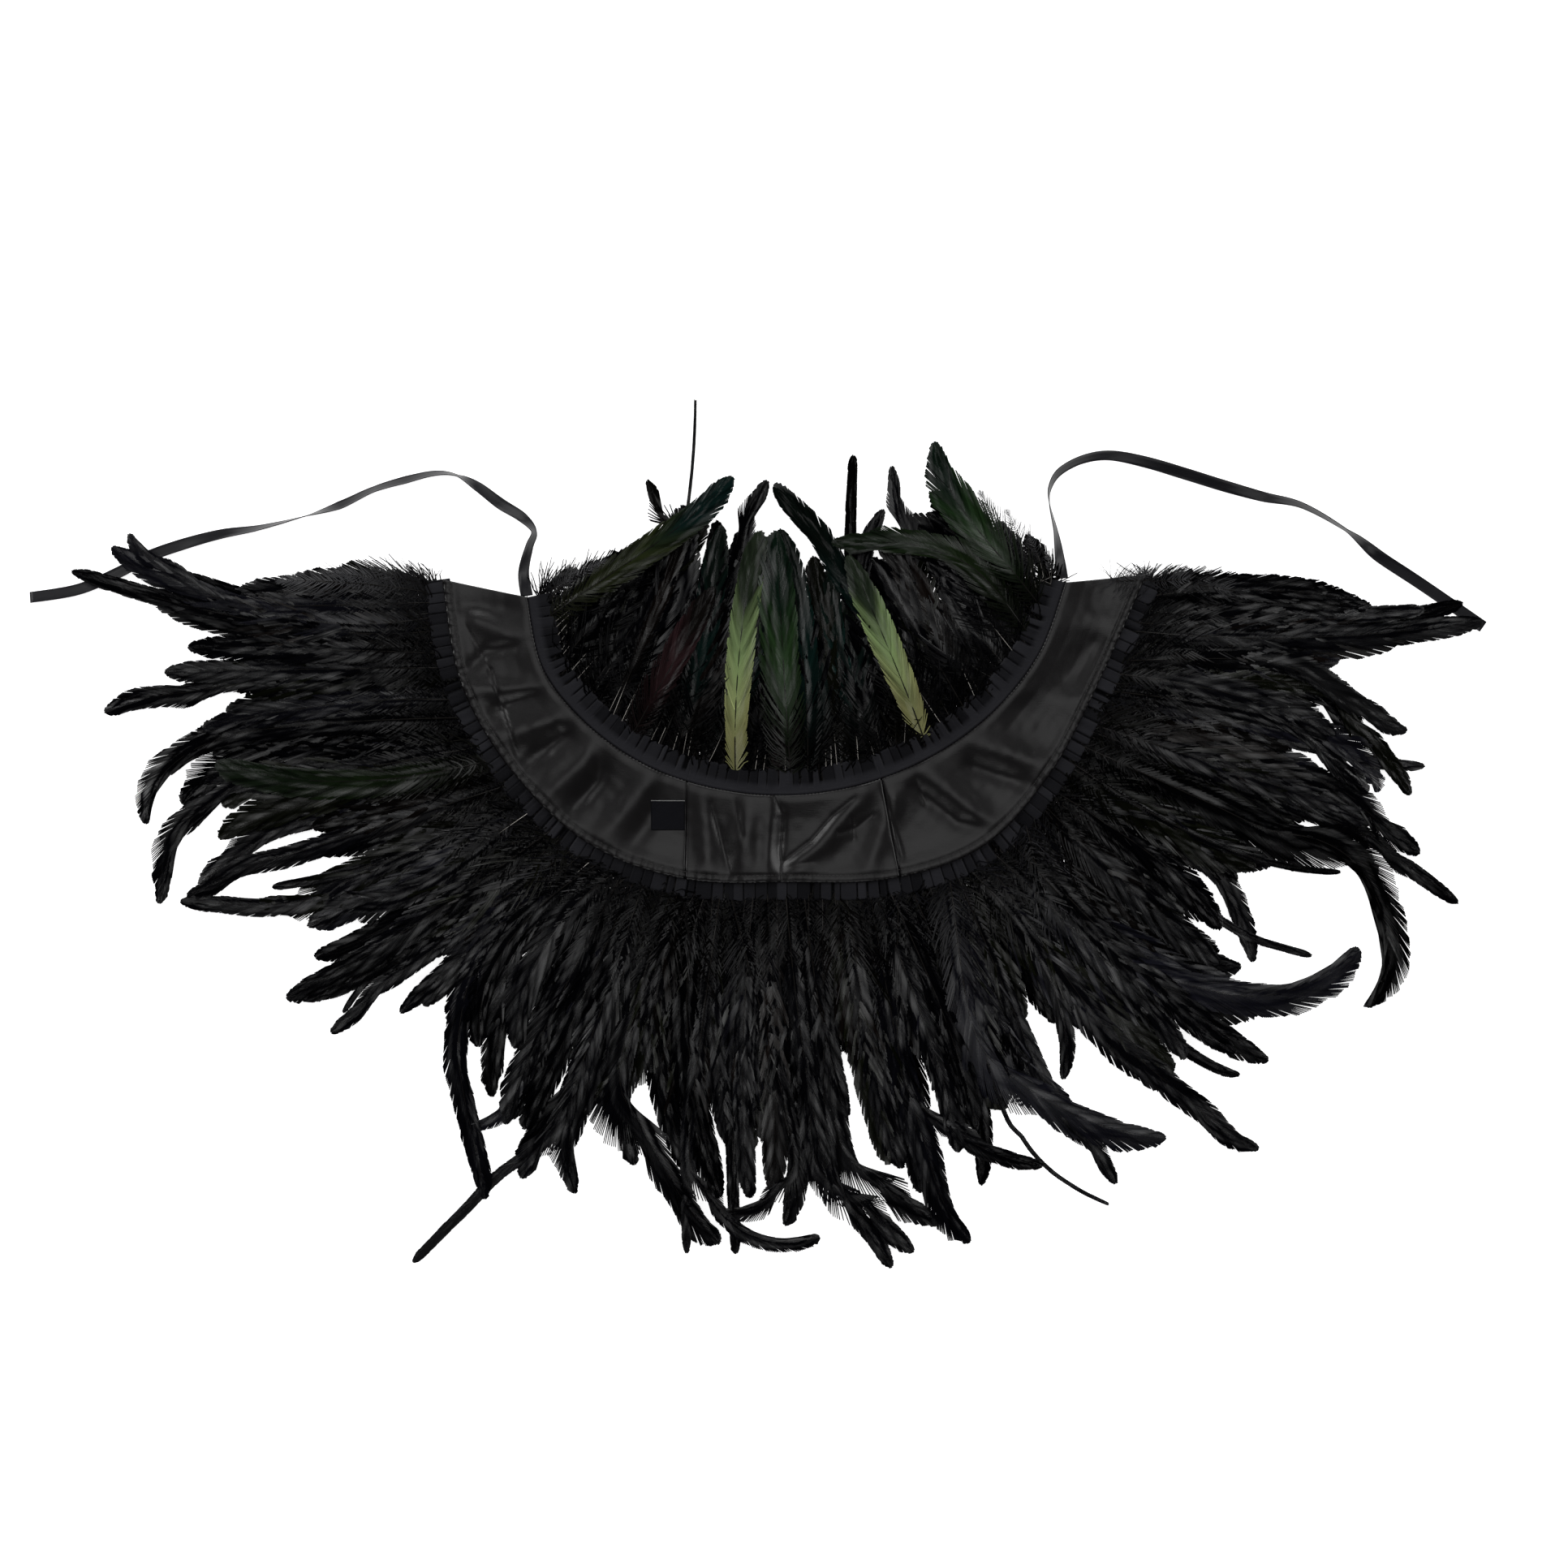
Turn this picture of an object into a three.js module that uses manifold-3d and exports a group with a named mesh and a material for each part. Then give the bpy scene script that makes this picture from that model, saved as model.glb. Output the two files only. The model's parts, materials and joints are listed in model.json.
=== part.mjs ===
// A feather cape laid out flat with its lining up: a crescent satin yoke, feather trims sewn along its neck
// and hem, two ribbon ties and a blank woven label. Millimetres, +Z up. The yoke's underside rests on Z = 0.
import * as THREE from "three";
import { mergeVertices } from "three/addons/utils/BufferGeometryUtils.js";
import Module from "manifold-3d";

// Driving dimensions. The lining lies over the shell with a little slack, and its folds are flattened where the
// trims lie under it.
const mmPerPixel = 0.55;
const pictureMiddle = 966;
const seamGap = 0.3;
const shellThickness = 1.4;
const liningThickness = 1.2;
const liningSlack = 1.0;
const foldsFlattened = 0.75;
const tape = { thickness: 1.0, tuckedIn: 5, ridge: 0.9, plainSteps: 36 };

// A feather has a bare quill, at most a share of its length, and then a vane, whose outline is part of a leaning
// sine wave. Feathers that cross lie in plies, one above the other, and all of them are lifted over a tie.
const quill = { width: 2, thickness: 0.7, sewnIn: 1.5, bare: 25, mostBare: 0.4, fromSeam: 3.5 };
const viaAt = 0.6;
const vane = {
  thickness: 0.9,
  start: 0.06,
  span: 0.86,
  lean: 0.8,
  fullness: 0.6,
  lastRingAt: 0.9,
  lengthAStep: 55,
  bendAStep: 0.5,
  fewestSteps: 3,
  mostSteps: 6,
};
const filler = { shortest: 0.6, longest: 0.85, narrowest: 13, widest: 18, widthsFrom: 101 };
const ply = { lowest: 1.2, pitch: 1.3, apart: 1, sinksAfter: 90, sinksOver: 120, sinksBy: 0.25 };
const overTie = { lift: 3.6, full: 25, none: 60 };
const tie = { width: 8.2, thickness: 1, rounded: 0.08, steps: 48, leavesAt: 2.4 };
const lookedAt = { feather: 16, tie: 80, edge: 120 };
const label = {
  panel: "left_front",
  firstColumn: 19.7,
  lastColumn: 21.8,
  firstRow: 2,
  lastRow: 4,
  thickness: 0.8,
};

// Plan positions, here and in the tables below, are pixels of a picture taken straight down, 1932 pixels
// square.
const onPlan = (x, y) => new THREE.Vector2(
  (x - pictureMiddle) * mmPerPixel,
  (pictureMiddle - y) * mmPerPixel,
);

// The yoke's cut edges at eleven even stations, from the left front to the right front.
const yokeSections = [
  { neckX: 650, neckY: 736, hemX: 545, hemY: 714 },
  { neckX: 669, neckY: 823, hemX: 568, hemY: 842 },
  { neckX: 725, neckY: 893, hemX: 632, hemY: 952 },
  { neckX: 800, neckY: 944, hemX: 726, hemY: 1040 },
  { neckX: 887, neckY: 972, hemX: 844, hemY: 1083 },
  { neckX: 977, neckY: 979, hemX: 973, hemY: 1087 },
  { neckX: 1068, neckY: 964, hemX: 1102, hemY: 1082 },
  { neckX: 1152, neckY: 929, hemX: 1214, hemY: 1041 },
  { neckX: 1225, neckY: 875, hemX: 1296, hemY: 950 },
  { neckX: 1281, neckY: 803, hemX: 1358, hemY: 831 },
  { neckX: 1312, neckY: 718, hemX: 1412, hemY: 708 },
];

// Two seams part the yoke into a back and two fronts. Places along its neck and hem edges run from 0 to 1.
const panels = [
  { name: "left_front", neck: [0, 0.352], hem: [0, 0.4], columns: 22 },
  { name: "back", neck: [0.352, 0.62], hem: [0.4, 0.607], columns: 15 },
  { name: "right_front", neck: [0.62, 1], hem: [0.607, 1], columns: 22 },
];

// Rows across the yoke from neck to hem, as shares of its width, and how far each is lifted by the trims under
// it.
const yokeRows = [
  { across: 0, lifted: 1 },
  { across: 0.09, lifted: 1 },
  { across: 0.27, lifted: 0.35 },
  { across: 0.42, lifted: 0.1 },
  { across: 0.56, lifted: 0 },
  { across: 0.69, lifted: 0.12 },
  { across: 0.8, lifted: 0.45 },
  { across: 0.91, lifted: 1 },
  { across: 1, lifted: 1 },
];

// The lining's largest folds: a line on the plan, how wide and how high each is in millimetres.
const folds = [
  { fromX: 588, fromY: 765, toX: 640, toY: 790, width: 8, height: 1.6 },
  { fromX: 580, fromY: 850, toX: 672, toY: 848, width: 7, height: 1.8 },
  { fromX: 612, fromY: 910, toX: 700, toY: 880, width: 9, height: 2.4 },
  { fromX: 668, fromY: 985, toX: 745, toY: 915, width: 10, height: 3.0 },
  { fromX: 745, fromY: 1030, toX: 800, toY: 962, width: 10, height: 2.2 },
  { fromX: 868, fromY: 980, toX: 872, toY: 1070, width: 8, height: 1.8 },
  { fromX: 925, fromY: 990, toX: 922, toY: 1080, width: 11, height: 3.6 },
  { fromX: 952, fromY: 982, toX: 948, toY: 1080, width: 6, height: 3.4 },
  { fromX: 1062, fromY: 975, toX: 985, toY: 1068, width: 9, height: 3.2 },
  { fromX: 1100, fromY: 985, toX: 1070, toY: 1075, width: 8, height: 2.2 },
  { fromX: 1140, fromY: 950, toX: 1235, toY: 1030, width: 10, height: 2.6 },
  { fromX: 1195, fromY: 910, toX: 1300, toY: 950, width: 10, height: 2.4 },
  { fromX: 1262, fromY: 850, toX: 1345, toY: 868, width: 11, height: 1.6 },
  { fromX: 1300, fromY: 760, toX: 1385, toY: 775, width: 12, height: 1.2 },
];

// The main feathers of the hem: where each is sewn along it, a place that it passes, its tip, and the width of
// its vane in millimetres.
const hemFeathers = [
  { root: 0.01, viaX: 310, viaY: 738, tipX: 160, tipY: 660, vane: 17 },
  { root: 0.015, viaX: 350, viaY: 742, tipX: 200, tipY: 690, vane: 17 },
  { root: 0.022, viaX: 300, viaY: 748, tipX: 140, tipY: 682, vane: 16 },
  { root: 0.035, viaX: 300, viaY: 762, tipX: 90, tipY: 705, vane: 12 },
  { root: 0.045, viaX: 340, viaY: 778, tipX: 190, tipY: 738, vane: 18 },
  { root: 0.06, viaX: 370, viaY: 800, tipX: 232, tipY: 797, vane: 16 },
  { root: 0.075, viaX: 360, viaY: 825, tipX: 203, tipY: 827, vane: 15 },
  { root: 0.085, viaX: 320, viaY: 838, tipX: 128, tipY: 877, vane: 21 },
  { root: 0.11, viaX: 380, viaY: 872, tipX: 250, tipY: 897, vane: 15 },
  { root: 0.13, viaX: 268, viaY: 902, tipX: 178, tipY: 1010, vane: 15 },
  { root: 0.17, viaX: 252, viaY: 965, tipX: 194, tipY: 1108, vane: 15 },
  { root: 0.185, viaX: 390, viaY: 962, tipX: 268, tipY: 938, vane: 18 },
  { root: 0.2, viaX: 370, viaY: 995, tipX: 272, tipY: 1037, vane: 20 },
  { root: 0.215, viaX: 360, viaY: 1050, tipX: 226, tipY: 1098, vane: 17 },
  { root: 0.225, viaX: 410, viaY: 1068, tipX: 328, tipY: 1100, vane: 12 },
  { root: 0.235, viaX: 390, viaY: 1112, tipX: 224, tipY: 1110, vane: 15 },
  { root: 0.25, viaX: 450, viaY: 1112, tipX: 388, tipY: 1142, vane: 15 },
  { root: 0.262, viaX: 480, viaY: 1140, tipX: 388, tipY: 1180, vane: 15 },
  { root: 0.275, viaX: 460, viaY: 1172, tipX: 353, tipY: 1228, vane: 17 },
  { root: 0.285, viaX: 490, viaY: 1180, tipX: 372, tipY: 1232, vane: 12 },
  { root: 0.29, viaX: 520, viaY: 1165, tipX: 422, tipY: 1252, vane: 9 },
  { root: 0.3, viaX: 520, viaY: 1182, tipX: 409, tipY: 1275, vane: 12 },
  { root: 0.31, viaX: 570, viaY: 1180, tipX: 493, tipY: 1248, vane: 14 },
  { root: 0.315, viaX: 590, viaY: 1175, tipX: 520, tipY: 1238, vane: 13 },
  { root: 0.33, viaX: 580, viaY: 1285, tipX: 598, tipY: 1477, vane: 21 },
  { root: 0.335, viaX: 612, viaY: 1235, tipX: 582, tipY: 1330, vane: 18 },
  { root: 0.34, viaX: 655, viaY: 1255, tipX: 596, tipY: 1385, vane: 20 },
  { root: 0.345, viaX: 645, viaY: 1320, tipX: 578, tipY: 1400, vane: 18 },
  { root: 0.355, viaX: 690, viaY: 1340, tipX: 642, tipY: 1455, vane: 17 },
  { root: 0.362, viaX: 718, viaY: 1330, tipX: 708, tipY: 1471, vane: 14 },
  { root: 0.37, viaX: 680, viaY: 1385, tipX: 508, tipY: 1559, vane: 13 },
  { root: 0.378, viaX: 785, viaY: 1385, tipX: 888, tipY: 1531, vane: 22 },
  { root: 0.39, viaX: 845, viaY: 1390, tipX: 846, tipY: 1545, vane: 7 },
  { root: 0.4, viaX: 808, viaY: 1230, tipX: 803, tipY: 1322, vane: 13 },
  { root: 0.42, viaX: 872, viaY: 1430, tipX: 1011, tipY: 1524, vane: 15 },
  { root: 0.445, viaX: 903, viaY: 1360, tipX: 908, tipY: 1545, vane: 8 },
  { root: 0.455, viaX: 915, viaY: 1350, tipX: 922, tipY: 1476, vane: 13 },
  { root: 0.47, viaX: 955, viaY: 1350, tipX: 952, tipY: 1470, vane: 18 },
  { root: 0.5, viaX: 985, viaY: 1400, tipX: 966, tipY: 1510, vane: 16 },
  { root: 0.51, viaX: 1022, viaY: 1400, tipX: 1100, tipY: 1561, vane: 18 },
  { root: 0.515, viaX: 1035, viaY: 1410, tipX: 1158, tipY: 1508, vane: 17 },
  { root: 0.52, viaX: 1045, viaY: 1430, tipX: 1127, tipY: 1543, vane: 16 },
  { root: 0.53, viaX: 1068, viaY: 1320, tipX: 1098, tipY: 1434, vane: 18 },
  { root: 0.54, viaX: 1085, viaY: 1350, tipX: 1110, tipY: 1440, vane: 17 },
  { root: 0.555, viaX: 1115, viaY: 1365, tipX: 1136, tipY: 1470, vane: 15 },
  { root: 0.565, viaX: 1138, viaY: 1400, tipX: 1198, tipY: 1530, vane: 18 },
  { root: 0.59, viaX: 1180, viaY: 1360, tipX: 1285, tipY: 1438, vane: 17 },
  { root: 0.6, viaX: 1200, viaY: 1330, tipX: 1208, tipY: 1461, vane: 13 },
  { root: 0.63, viaX: 1252, viaY: 1365, tipX: 1367, tipY: 1483, vane: 5 },
  { root: 0.64, viaX: 1275, viaY: 1320, tipX: 1435, tipY: 1405, vane: 25 },
  { root: 0.647, viaX: 1310, viaY: 1365, tipX: 1375, tipY: 1460, vane: 14 },
  { root: 0.66, viaX: 1302, viaY: 1230, tipX: 1310, tipY: 1330, vane: 12 },
  { root: 0.68, viaX: 1405, viaY: 1290, tipX: 1552, tipY: 1416, vane: 18 },
  { root: 0.7, viaX: 1430, viaY: 1265, tipX: 1528, tipY: 1325, vane: 12 },
  { root: 0.71, viaX: 1455, viaY: 1235, tipX: 1563, tipY: 1305, vane: 18 },
  { root: 0.73, viaX: 1512, viaY: 1228, tipX: 1683, tipY: 1172, vane: 30 },
  { root: 0.77, viaX: 1490, viaY: 1118, tipX: 1617, tipY: 1178, vane: 10 },
  { root: 0.78, viaX: 1500, viaY: 1085, tipX: 1545, tipY: 1186, vane: 18 },
  { root: 0.81, viaX: 1530, viaY: 1048, tipX: 1652, tipY: 1074, vane: 8 },
  { root: 0.83, viaX: 1700, viaY: 1062, tipX: 1690, tipY: 1242, vane: 24 },
  { root: 0.85, viaX: 1640, viaY: 1005, tipX: 1797, tipY: 1110, vane: 13 },
  { root: 0.855, viaX: 1600, viaY: 978, tipX: 1690, tipY: 1015, vane: 18 },
  { root: 0.86, viaX: 1620, viaY: 950, tipX: 1750, tipY: 1050, vane: 18 },
  { root: 0.88, viaX: 1600, viaY: 925, tipX: 1754, tipY: 943, vane: 14 },
  { root: 0.885, viaX: 1590, viaY: 888, tipX: 1697, tipY: 976, vane: 18 },
  { root: 0.895, viaX: 1640, viaY: 850, tipX: 1738, tipY: 980, vane: 14 },
  { root: 0.905, viaX: 1560, viaY: 868, tipX: 1645, tipY: 905, vane: 18 },
  { root: 0.92, viaX: 1620, viaY: 826, tipX: 1732, tipY: 893, vane: 18 },
  { root: 0.935, viaX: 1540, viaY: 812, tipX: 1650, tipY: 815, vane: 20 },
  { root: 0.955, viaX: 1640, viaY: 790, tipX: 1822, tipY: 763, vane: 21 },
  { root: 0.965, viaX: 1650, viaY: 768, tipX: 1802, tipY: 742, vane: 15 },
  { root: 0.98, viaX: 1600, viaY: 748, tipX: 1752, tipY: 750, vane: 18 },
  { root: 0.99, viaX: 1570, viaY: 730, tipX: 1690, tipY: 738, vane: 20 },
];

// The main feathers of the collar, in the same columns.
const collarFeathers = [
  { root: 0.02, viaX: 795, viaY: 668, tipX: 905, tipY: 584, vane: 21 },
  { root: 0.06, viaX: 780, viaY: 695, tipX: 855, tipY: 660, vane: 18 },
  { root: 0.14, viaX: 800, viaY: 730, tipX: 868, tipY: 640, vane: 17 },
  { root: 0.22, viaX: 822, viaY: 690, tipX: 797, tipY: 592, vane: 14 },
  { root: 0.24, viaX: 842, viaY: 660, tipX: 857, tipY: 490, vane: 3 },
  { root: 0.26, viaX: 840, viaY: 800, tipX: 882, tipY: 725, vane: 18 },
  { root: 0.3, viaX: 885, viaY: 720, tipX: 945, tipY: 590, vane: 18 },
  { root: 0.34, viaX: 872, viaY: 760, tipX: 890, tipY: 648, vane: 17 },
  { root: 0.38, viaX: 918, viaY: 820, tipX: 930, tipY: 735, vane: 18 },
  { root: 0.42, viaX: 915, viaY: 770, tipX: 935, tipY: 655, vane: 18 },
  { root: 0.48, viaX: 975, viaY: 850, tipX: 985, tipY: 780, vane: 16 },
  { root: 0.52, viaX: 985, viaY: 770, tipX: 963, tipY: 652, vane: 18 },
  { root: 0.57, viaX: 1015, viaY: 780, tipX: 1003, tipY: 685, vane: 17 },
  { root: 0.6, viaX: 1048, viaY: 700, tipX: 1052, tipY: 560, vane: 12 },
  { root: 0.63, viaX: 1058, viaY: 730, tipX: 1088, tipY: 627, vane: 12 },
  { root: 0.67, viaX: 1095, viaY: 700, tipX: 1098, tipY: 577, vane: 12 },
  { root: 0.7, viaX: 1090, viaY: 790, tipX: 1045, tipY: 685, vane: 20 },
  { root: 0.73, viaX: 1048, viaY: 705, tipX: 950, tipY: 590, vane: 20 },
  { root: 0.8, viaX: 1140, viaY: 745, tipX: 1080, tipY: 655, vane: 18 },
  { root: 0.87, viaX: 1175, viaY: 715, tipX: 1130, tipY: 645, vane: 18 },
  { root: 0.93, viaX: 1150, viaY: 672, tipX: 1027, tipY: 672, vane: 21 },
  { root: 0.98, viaX: 1200, viaY: 650, tipX: 1152, tipY: 546, vane: 27 },
];

// The ribbon ties, from the neck's corners to their cut ends, and how each is turned about its length, in
// degrees.
const tieRoutes = {
  tie_left: [
    { x: 649, y: 734.3, turned: 0 },
    { x: 645, y: 705, turned: 30 },
    { x: 652, y: 674, turned: 55 },
    { x: 658, y: 655, turned: 70 },
    { x: 643, y: 637, turned: 30 },
    { x: 616, y: 620, turned: 15 },
    { x: 588, y: 599, turned: 35 },
    { x: 564, y: 586, turned: 80 },
    { x: 537, y: 583, turned: 60 },
    { x: 500, y: 591, turned: 45 },
    { x: 460, y: 603, turned: 55 },
    { x: 419, y: 622, turned: 40 },
    { x: 376, y: 636, turned: 85 },
    { x: 320, y: 650, turned: 60 },
    { x: 271, y: 658, turned: 30 },
    { x: 222, y: 671, turned: 12 },
    { x: 180, y: 686, turned: 10 },
    { x: 145, y: 705, turned: 12 },
    { x: 95, y: 726, turned: 15 },
    { x: 36, y: 736, turned: 20 },
  ],
  tie_right: [
    { x: 1309, y: 712.8, turned: 0 },
    { x: 1306, y: 688, turned: 30 },
    { x: 1301, y: 655, turned: 65 },
    { x: 1293, y: 620, turned: 85 },
    { x: 1294, y: 600, turned: 70 },
    { x: 1306, y: 581, turned: 55 },
    { x: 1334, y: 566, turned: 50 },
    { x: 1368, y: 561, turned: 40 },
    { x: 1412, y: 569, turned: 25 },
    { x: 1460, y: 583, turned: 15 },
    { x: 1508, y: 598, turned: 20 },
    { x: 1557, y: 612, turned: 40 },
    { x: 1605, y: 623, turned: 70 },
    { x: 1660, y: 654, turned: 88 },
    { x: 1700, y: 685, turned: 15 },
    { x: 1755, y: 721, turned: 0 },
    { x: 1829, y: 772, turned: 0 },
  ],
};

// How the two rows of feather trim at each edge are sewn: side is 1 where the trim points away from the neck.
const trims = [
  { name: "hem", edge: "hem", side: 1, shows: 12, ridges: 110, main: hemFeathers, between: 60, color: 0x17171b },
  { name: "collar", edge: "neck", side: -1, shows: 16, ridges: 70, main: collarFeathers, between: 26, color: 0x1c271b },
];
const rows = [
  { name: "under", bottom: shellThickness + seamGap, ridged: false },
  { name: "top", bottom: shellThickness + 2 * seamGap + tape.thickness, ridged: true },
];
const liningOverTrim = rows[1].bottom + tape.thickness + tape.ridge / 2 + seamGap;
const liningOverShell = shellThickness + seamGap + liningSlack;

const wasm = await Module();
wasm.setup();

const { clamp, lerp, degToRad } = THREE.MathUtils;
const scatter = (n) => {
  const wave = Math.sin(n * 12.9898) * 43758.5453;
  return wave - Math.floor(wave);
};

// A closed skin through rings of equal point count, with flat ends, or a point at the far end. Where a twisted
// skin is to bulge, each of its quads is split along the diagonal that lies further from the middle of the quad's
// two rings, so the two sides of a thin ribbon never cut through each other.
function loft(rings, tip, bulging = false) {
  const around = rings[0].length;
  const points = rings.flat();
  const middles = rings.map((ring) => {
    return ring.reduce((sum, point) => sum.add(point), new THREE.Vector3()).divideScalar(around);
  });
  const faces = [];
  const close = (first) => {
    for (let low = 0, high = around - 1; high - low > 1; low += 1, high -= 1) {
      faces.push([first + low, first + low + 1, first + high]);
      if (high - low > 2) faces.push([first + low + 1, first + high - 1, first + high]);
    }
  };
  close(0);
  for (let ring = 0; ring + 1 < rings.length; ring += 1) {
    const core = middles[ring].clone().lerp(middles[ring + 1], 0.5);
    const outness = (p, q) => points[p].clone().lerp(points[q], 0.5).distanceTo(core);
    for (let k = 0; k < around; k += 1) {
      const a = ring * around + k;
      const b = ring * around + ((k + 1) % around);
      if (bulging && outness(a, b + around) > outness(b, a + around)) {
        faces.push([a, a + around, b + around], [b, a, b + around]);
      } else {
        faces.push([a, a + around, b], [b, a + around, b + around]);
      }
    }
  }
  const last = (rings.length - 1) * around;
  if (tip) {
    points.push(tip);
    for (let k = 0; k < around; k += 1) faces.push([last + k, points.length - 1, last + ((k + 1) % around)]);
  } else {
    const before = faces.length;
    close(last);
    faces.slice(before).forEach((face) => face.reverse());
  }
  const volume = faces.reduce((sum, [a, b, c]) => {
    const normal = new THREE.Vector3().crossVectors(points[b], points[c]);
    return sum + points[a].dot(normal);
  }, 0);
  if (volume < 0) faces.forEach((face) => face.reverse());
  const geometry = new THREE.BufferGeometry();
  geometry.setAttribute("position", new THREE.Float32BufferAttribute(points.flatMap((p) => p.toArray()), 3));
  geometry.setIndex(faces.flat());
  return geometry;
}

const solidOf = (geometry) => {
  const merged = mergeVertices(geometry);
  const vertProperties = merged.attributes.position.array;
  const triVerts = new Uint32Array(merged.index.array);
  return new wasm.Manifold(new wasm.Mesh({ numProp: 3, vertProperties, triVerts }));
};

const geometryOf = (solid) => {
  const { vertProperties, triVerts } = solid.getMesh();
  const geometry = new THREE.BufferGeometry();
  geometry.setAttribute("position", new THREE.BufferAttribute(vertProperties, 3));
  geometry.setIndex(new THREE.BufferAttribute(triVerts, 1));
  return geometry;
};

const cape = new THREE.Group();
function add(name, geometry, finish) {
  const mesh = new THREE.Mesh(geometry, new THREE.MeshStandardMaterial({ metalness: 0, ...finish }));
  mesh.name = name;
  cape.add(mesh);
}

// The yoke's two edges as curves, and a point that lies off an edge by a distance along the cloth.
const edges = {
  neck: new THREE.SplineCurve(yokeSections.map((s) => onPlan(s.neckX, s.neckY))),
  hem: new THREE.SplineCurve(yokeSections.map((s) => onPlan(s.hemX, s.hemY))),
};
function offEdge(trim, place, distance) {
  const curve = edges[trim.edge];
  const { x, y } = curve.getTangentAt(place);
  return curve.getPointAt(place).addScaledVector(new THREE.Vector2(y, -x), distance * trim.side);
}

// A share of the way along a panel's edge, less half a seam's gap at each seam.
function placeAlong(panel, edge, share) {
  const [from, to] = panel[edge];
  const halfGap = seamGap / 2 / edges[edge].getLength();
  return lerp(from > 0 ? from + halfGap : 0, to < 1 ? to - halfGap : 1, share);
}

// Each fold is a soft ridge along its line that dies away all round.
function foldHeight(point) {
  return folds.reduce((sum, fold) => {
    const start = onPlan(fold.fromX, fold.fromY);
    const along = onPlan(fold.toX, fold.toY).sub(start);
    const share = clamp(point.clone().sub(start).dot(along) / along.lengthSq(), 0, 1);
    const away = start.addScaledVector(along, share).distanceTo(point) / fold.width;
    return sum + fold.height * Math.exp(-away * away);
  }, 0);
}
const liningHeight = (point, lifted) => {
  const fold = foldHeight(point) * (1 - foldsFlattened * lifted);
  return lerp(liningOverShell, liningOverTrim, lifted) + fold;
};

// The points of a panel's underside, in even columns along it.
function panelColumns(panel, across, heightAt) {
  return Array.from({ length: panel.columns + 1 }, (_, column) => {
    const share = column / panel.columns;
    const neck = edges.neck.getPointAt(placeAlong(panel, "neck", share));
    const hem = edges.hem.getPointAt(placeAlong(panel, "hem", share));
    return across.map((row) => {
      const point = neck.clone().lerp(hem, row.across);
      return new THREE.Vector3(point.x, point.y, heightAt(point, row.lifted));
    });
  });
}
function cloth(columns, thickness) {
  return loft(columns.map((bottom) => {
    const top = bottom.map((p) => p.clone().setZ(p.z + thickness));
    return [...top, ...bottom.toReversed()];
  }));
}

// The label follows the lining under it, beside the seam.
function labelColumns(lining) {
  const stops = [label.firstColumn];
  for (let column = Math.ceil(label.firstColumn); column < label.lastColumn; column += 1) stops.push(column);
  stops.push(label.lastColumn);
  return stops.map((stop) => {
    const before = Math.floor(stop);
    return lining[before].slice(label.firstRow, label.lastRow + 1).map((point, n) => {
      const on = point.clone().lerp(lining[before + 1][label.firstRow + n], stop - before);
      return on.setZ(on.z + liningThickness + seamGap);
    });
  });
}

for (const panel of panels) {
  const satin = { color: 0x1b191a, roughness: 0.45 };
  const shell = panelColumns(panel, [yokeRows[0], yokeRows.at(-1)], () => 0);
  const lining = panelColumns(panel, yokeRows, liningHeight);
  add(`shell_${panel.name}`, cloth(shell, shellThickness), satin);
  add(`lining_${panel.name}`, cloth(lining, liningThickness), satin);
  if (panel.name === label.panel) {
    add("label", cloth(labelColumns(lining), label.thickness), { color: 0x101014, roughness: 0.8 });
  }
}

// A length of tape. The top row's tape is gathered into ridges that grow towards its free edge.
function tapeSolid(trim, row, panel) {
  const [from, to] = panel[trim.edge];
  const columns = Math.round((to - from) * (row.ridged ? 2 * trim.ridges : tape.plainSteps));
  const top = row.bottom + tape.thickness;
  const rings = [];
  for (let column = 0; column <= columns; column += 1) {
    const place = placeAlong(panel, trim.edge, column / columns);
    const ridge = row.ridged && column % 2 ? tape.ridge : 0;
    const tucked = offEdge(trim, place, -tape.tuckedIn);
    const free = offEdge(trim, place, trim.shows);
    rings.push([
      new THREE.Vector3(tucked.x, tucked.y, top),
      new THREE.Vector3(free.x, free.y, top + ridge),
      new THREE.Vector3(free.x, free.y, row.bottom),
      new THREE.Vector3(tucked.x, tucked.y, row.bottom),
    ]);
  }
  return solidOf(loft(rings));
}

// A feather's line on the plan bends through three places: its root, a point part of the way, and its tip.
function bendThrough(root, via, tip) {
  const bend = via.clone()
    .addScaledVector(root, -((1 - viaAt) ** 2))
    .addScaledVector(tip, -(viaAt ** 2))
    .multiplyScalar(1 / (2 * viaAt * (1 - viaAt)));
  return new THREE.QuadraticBezierCurve(root, bend, tip);
}

// No quill is sewn in close to the end of its length of tape.
function clearOfSeams(trim, place) {
  const margin = quill.fromSeam / edges[trim.edge].getLength();
  const [from, to] = panels.map((panel) => panel[trim.edge]).find(([, end]) => place < end);
  return clamp(place, from + margin, to - margin);
}

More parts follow.
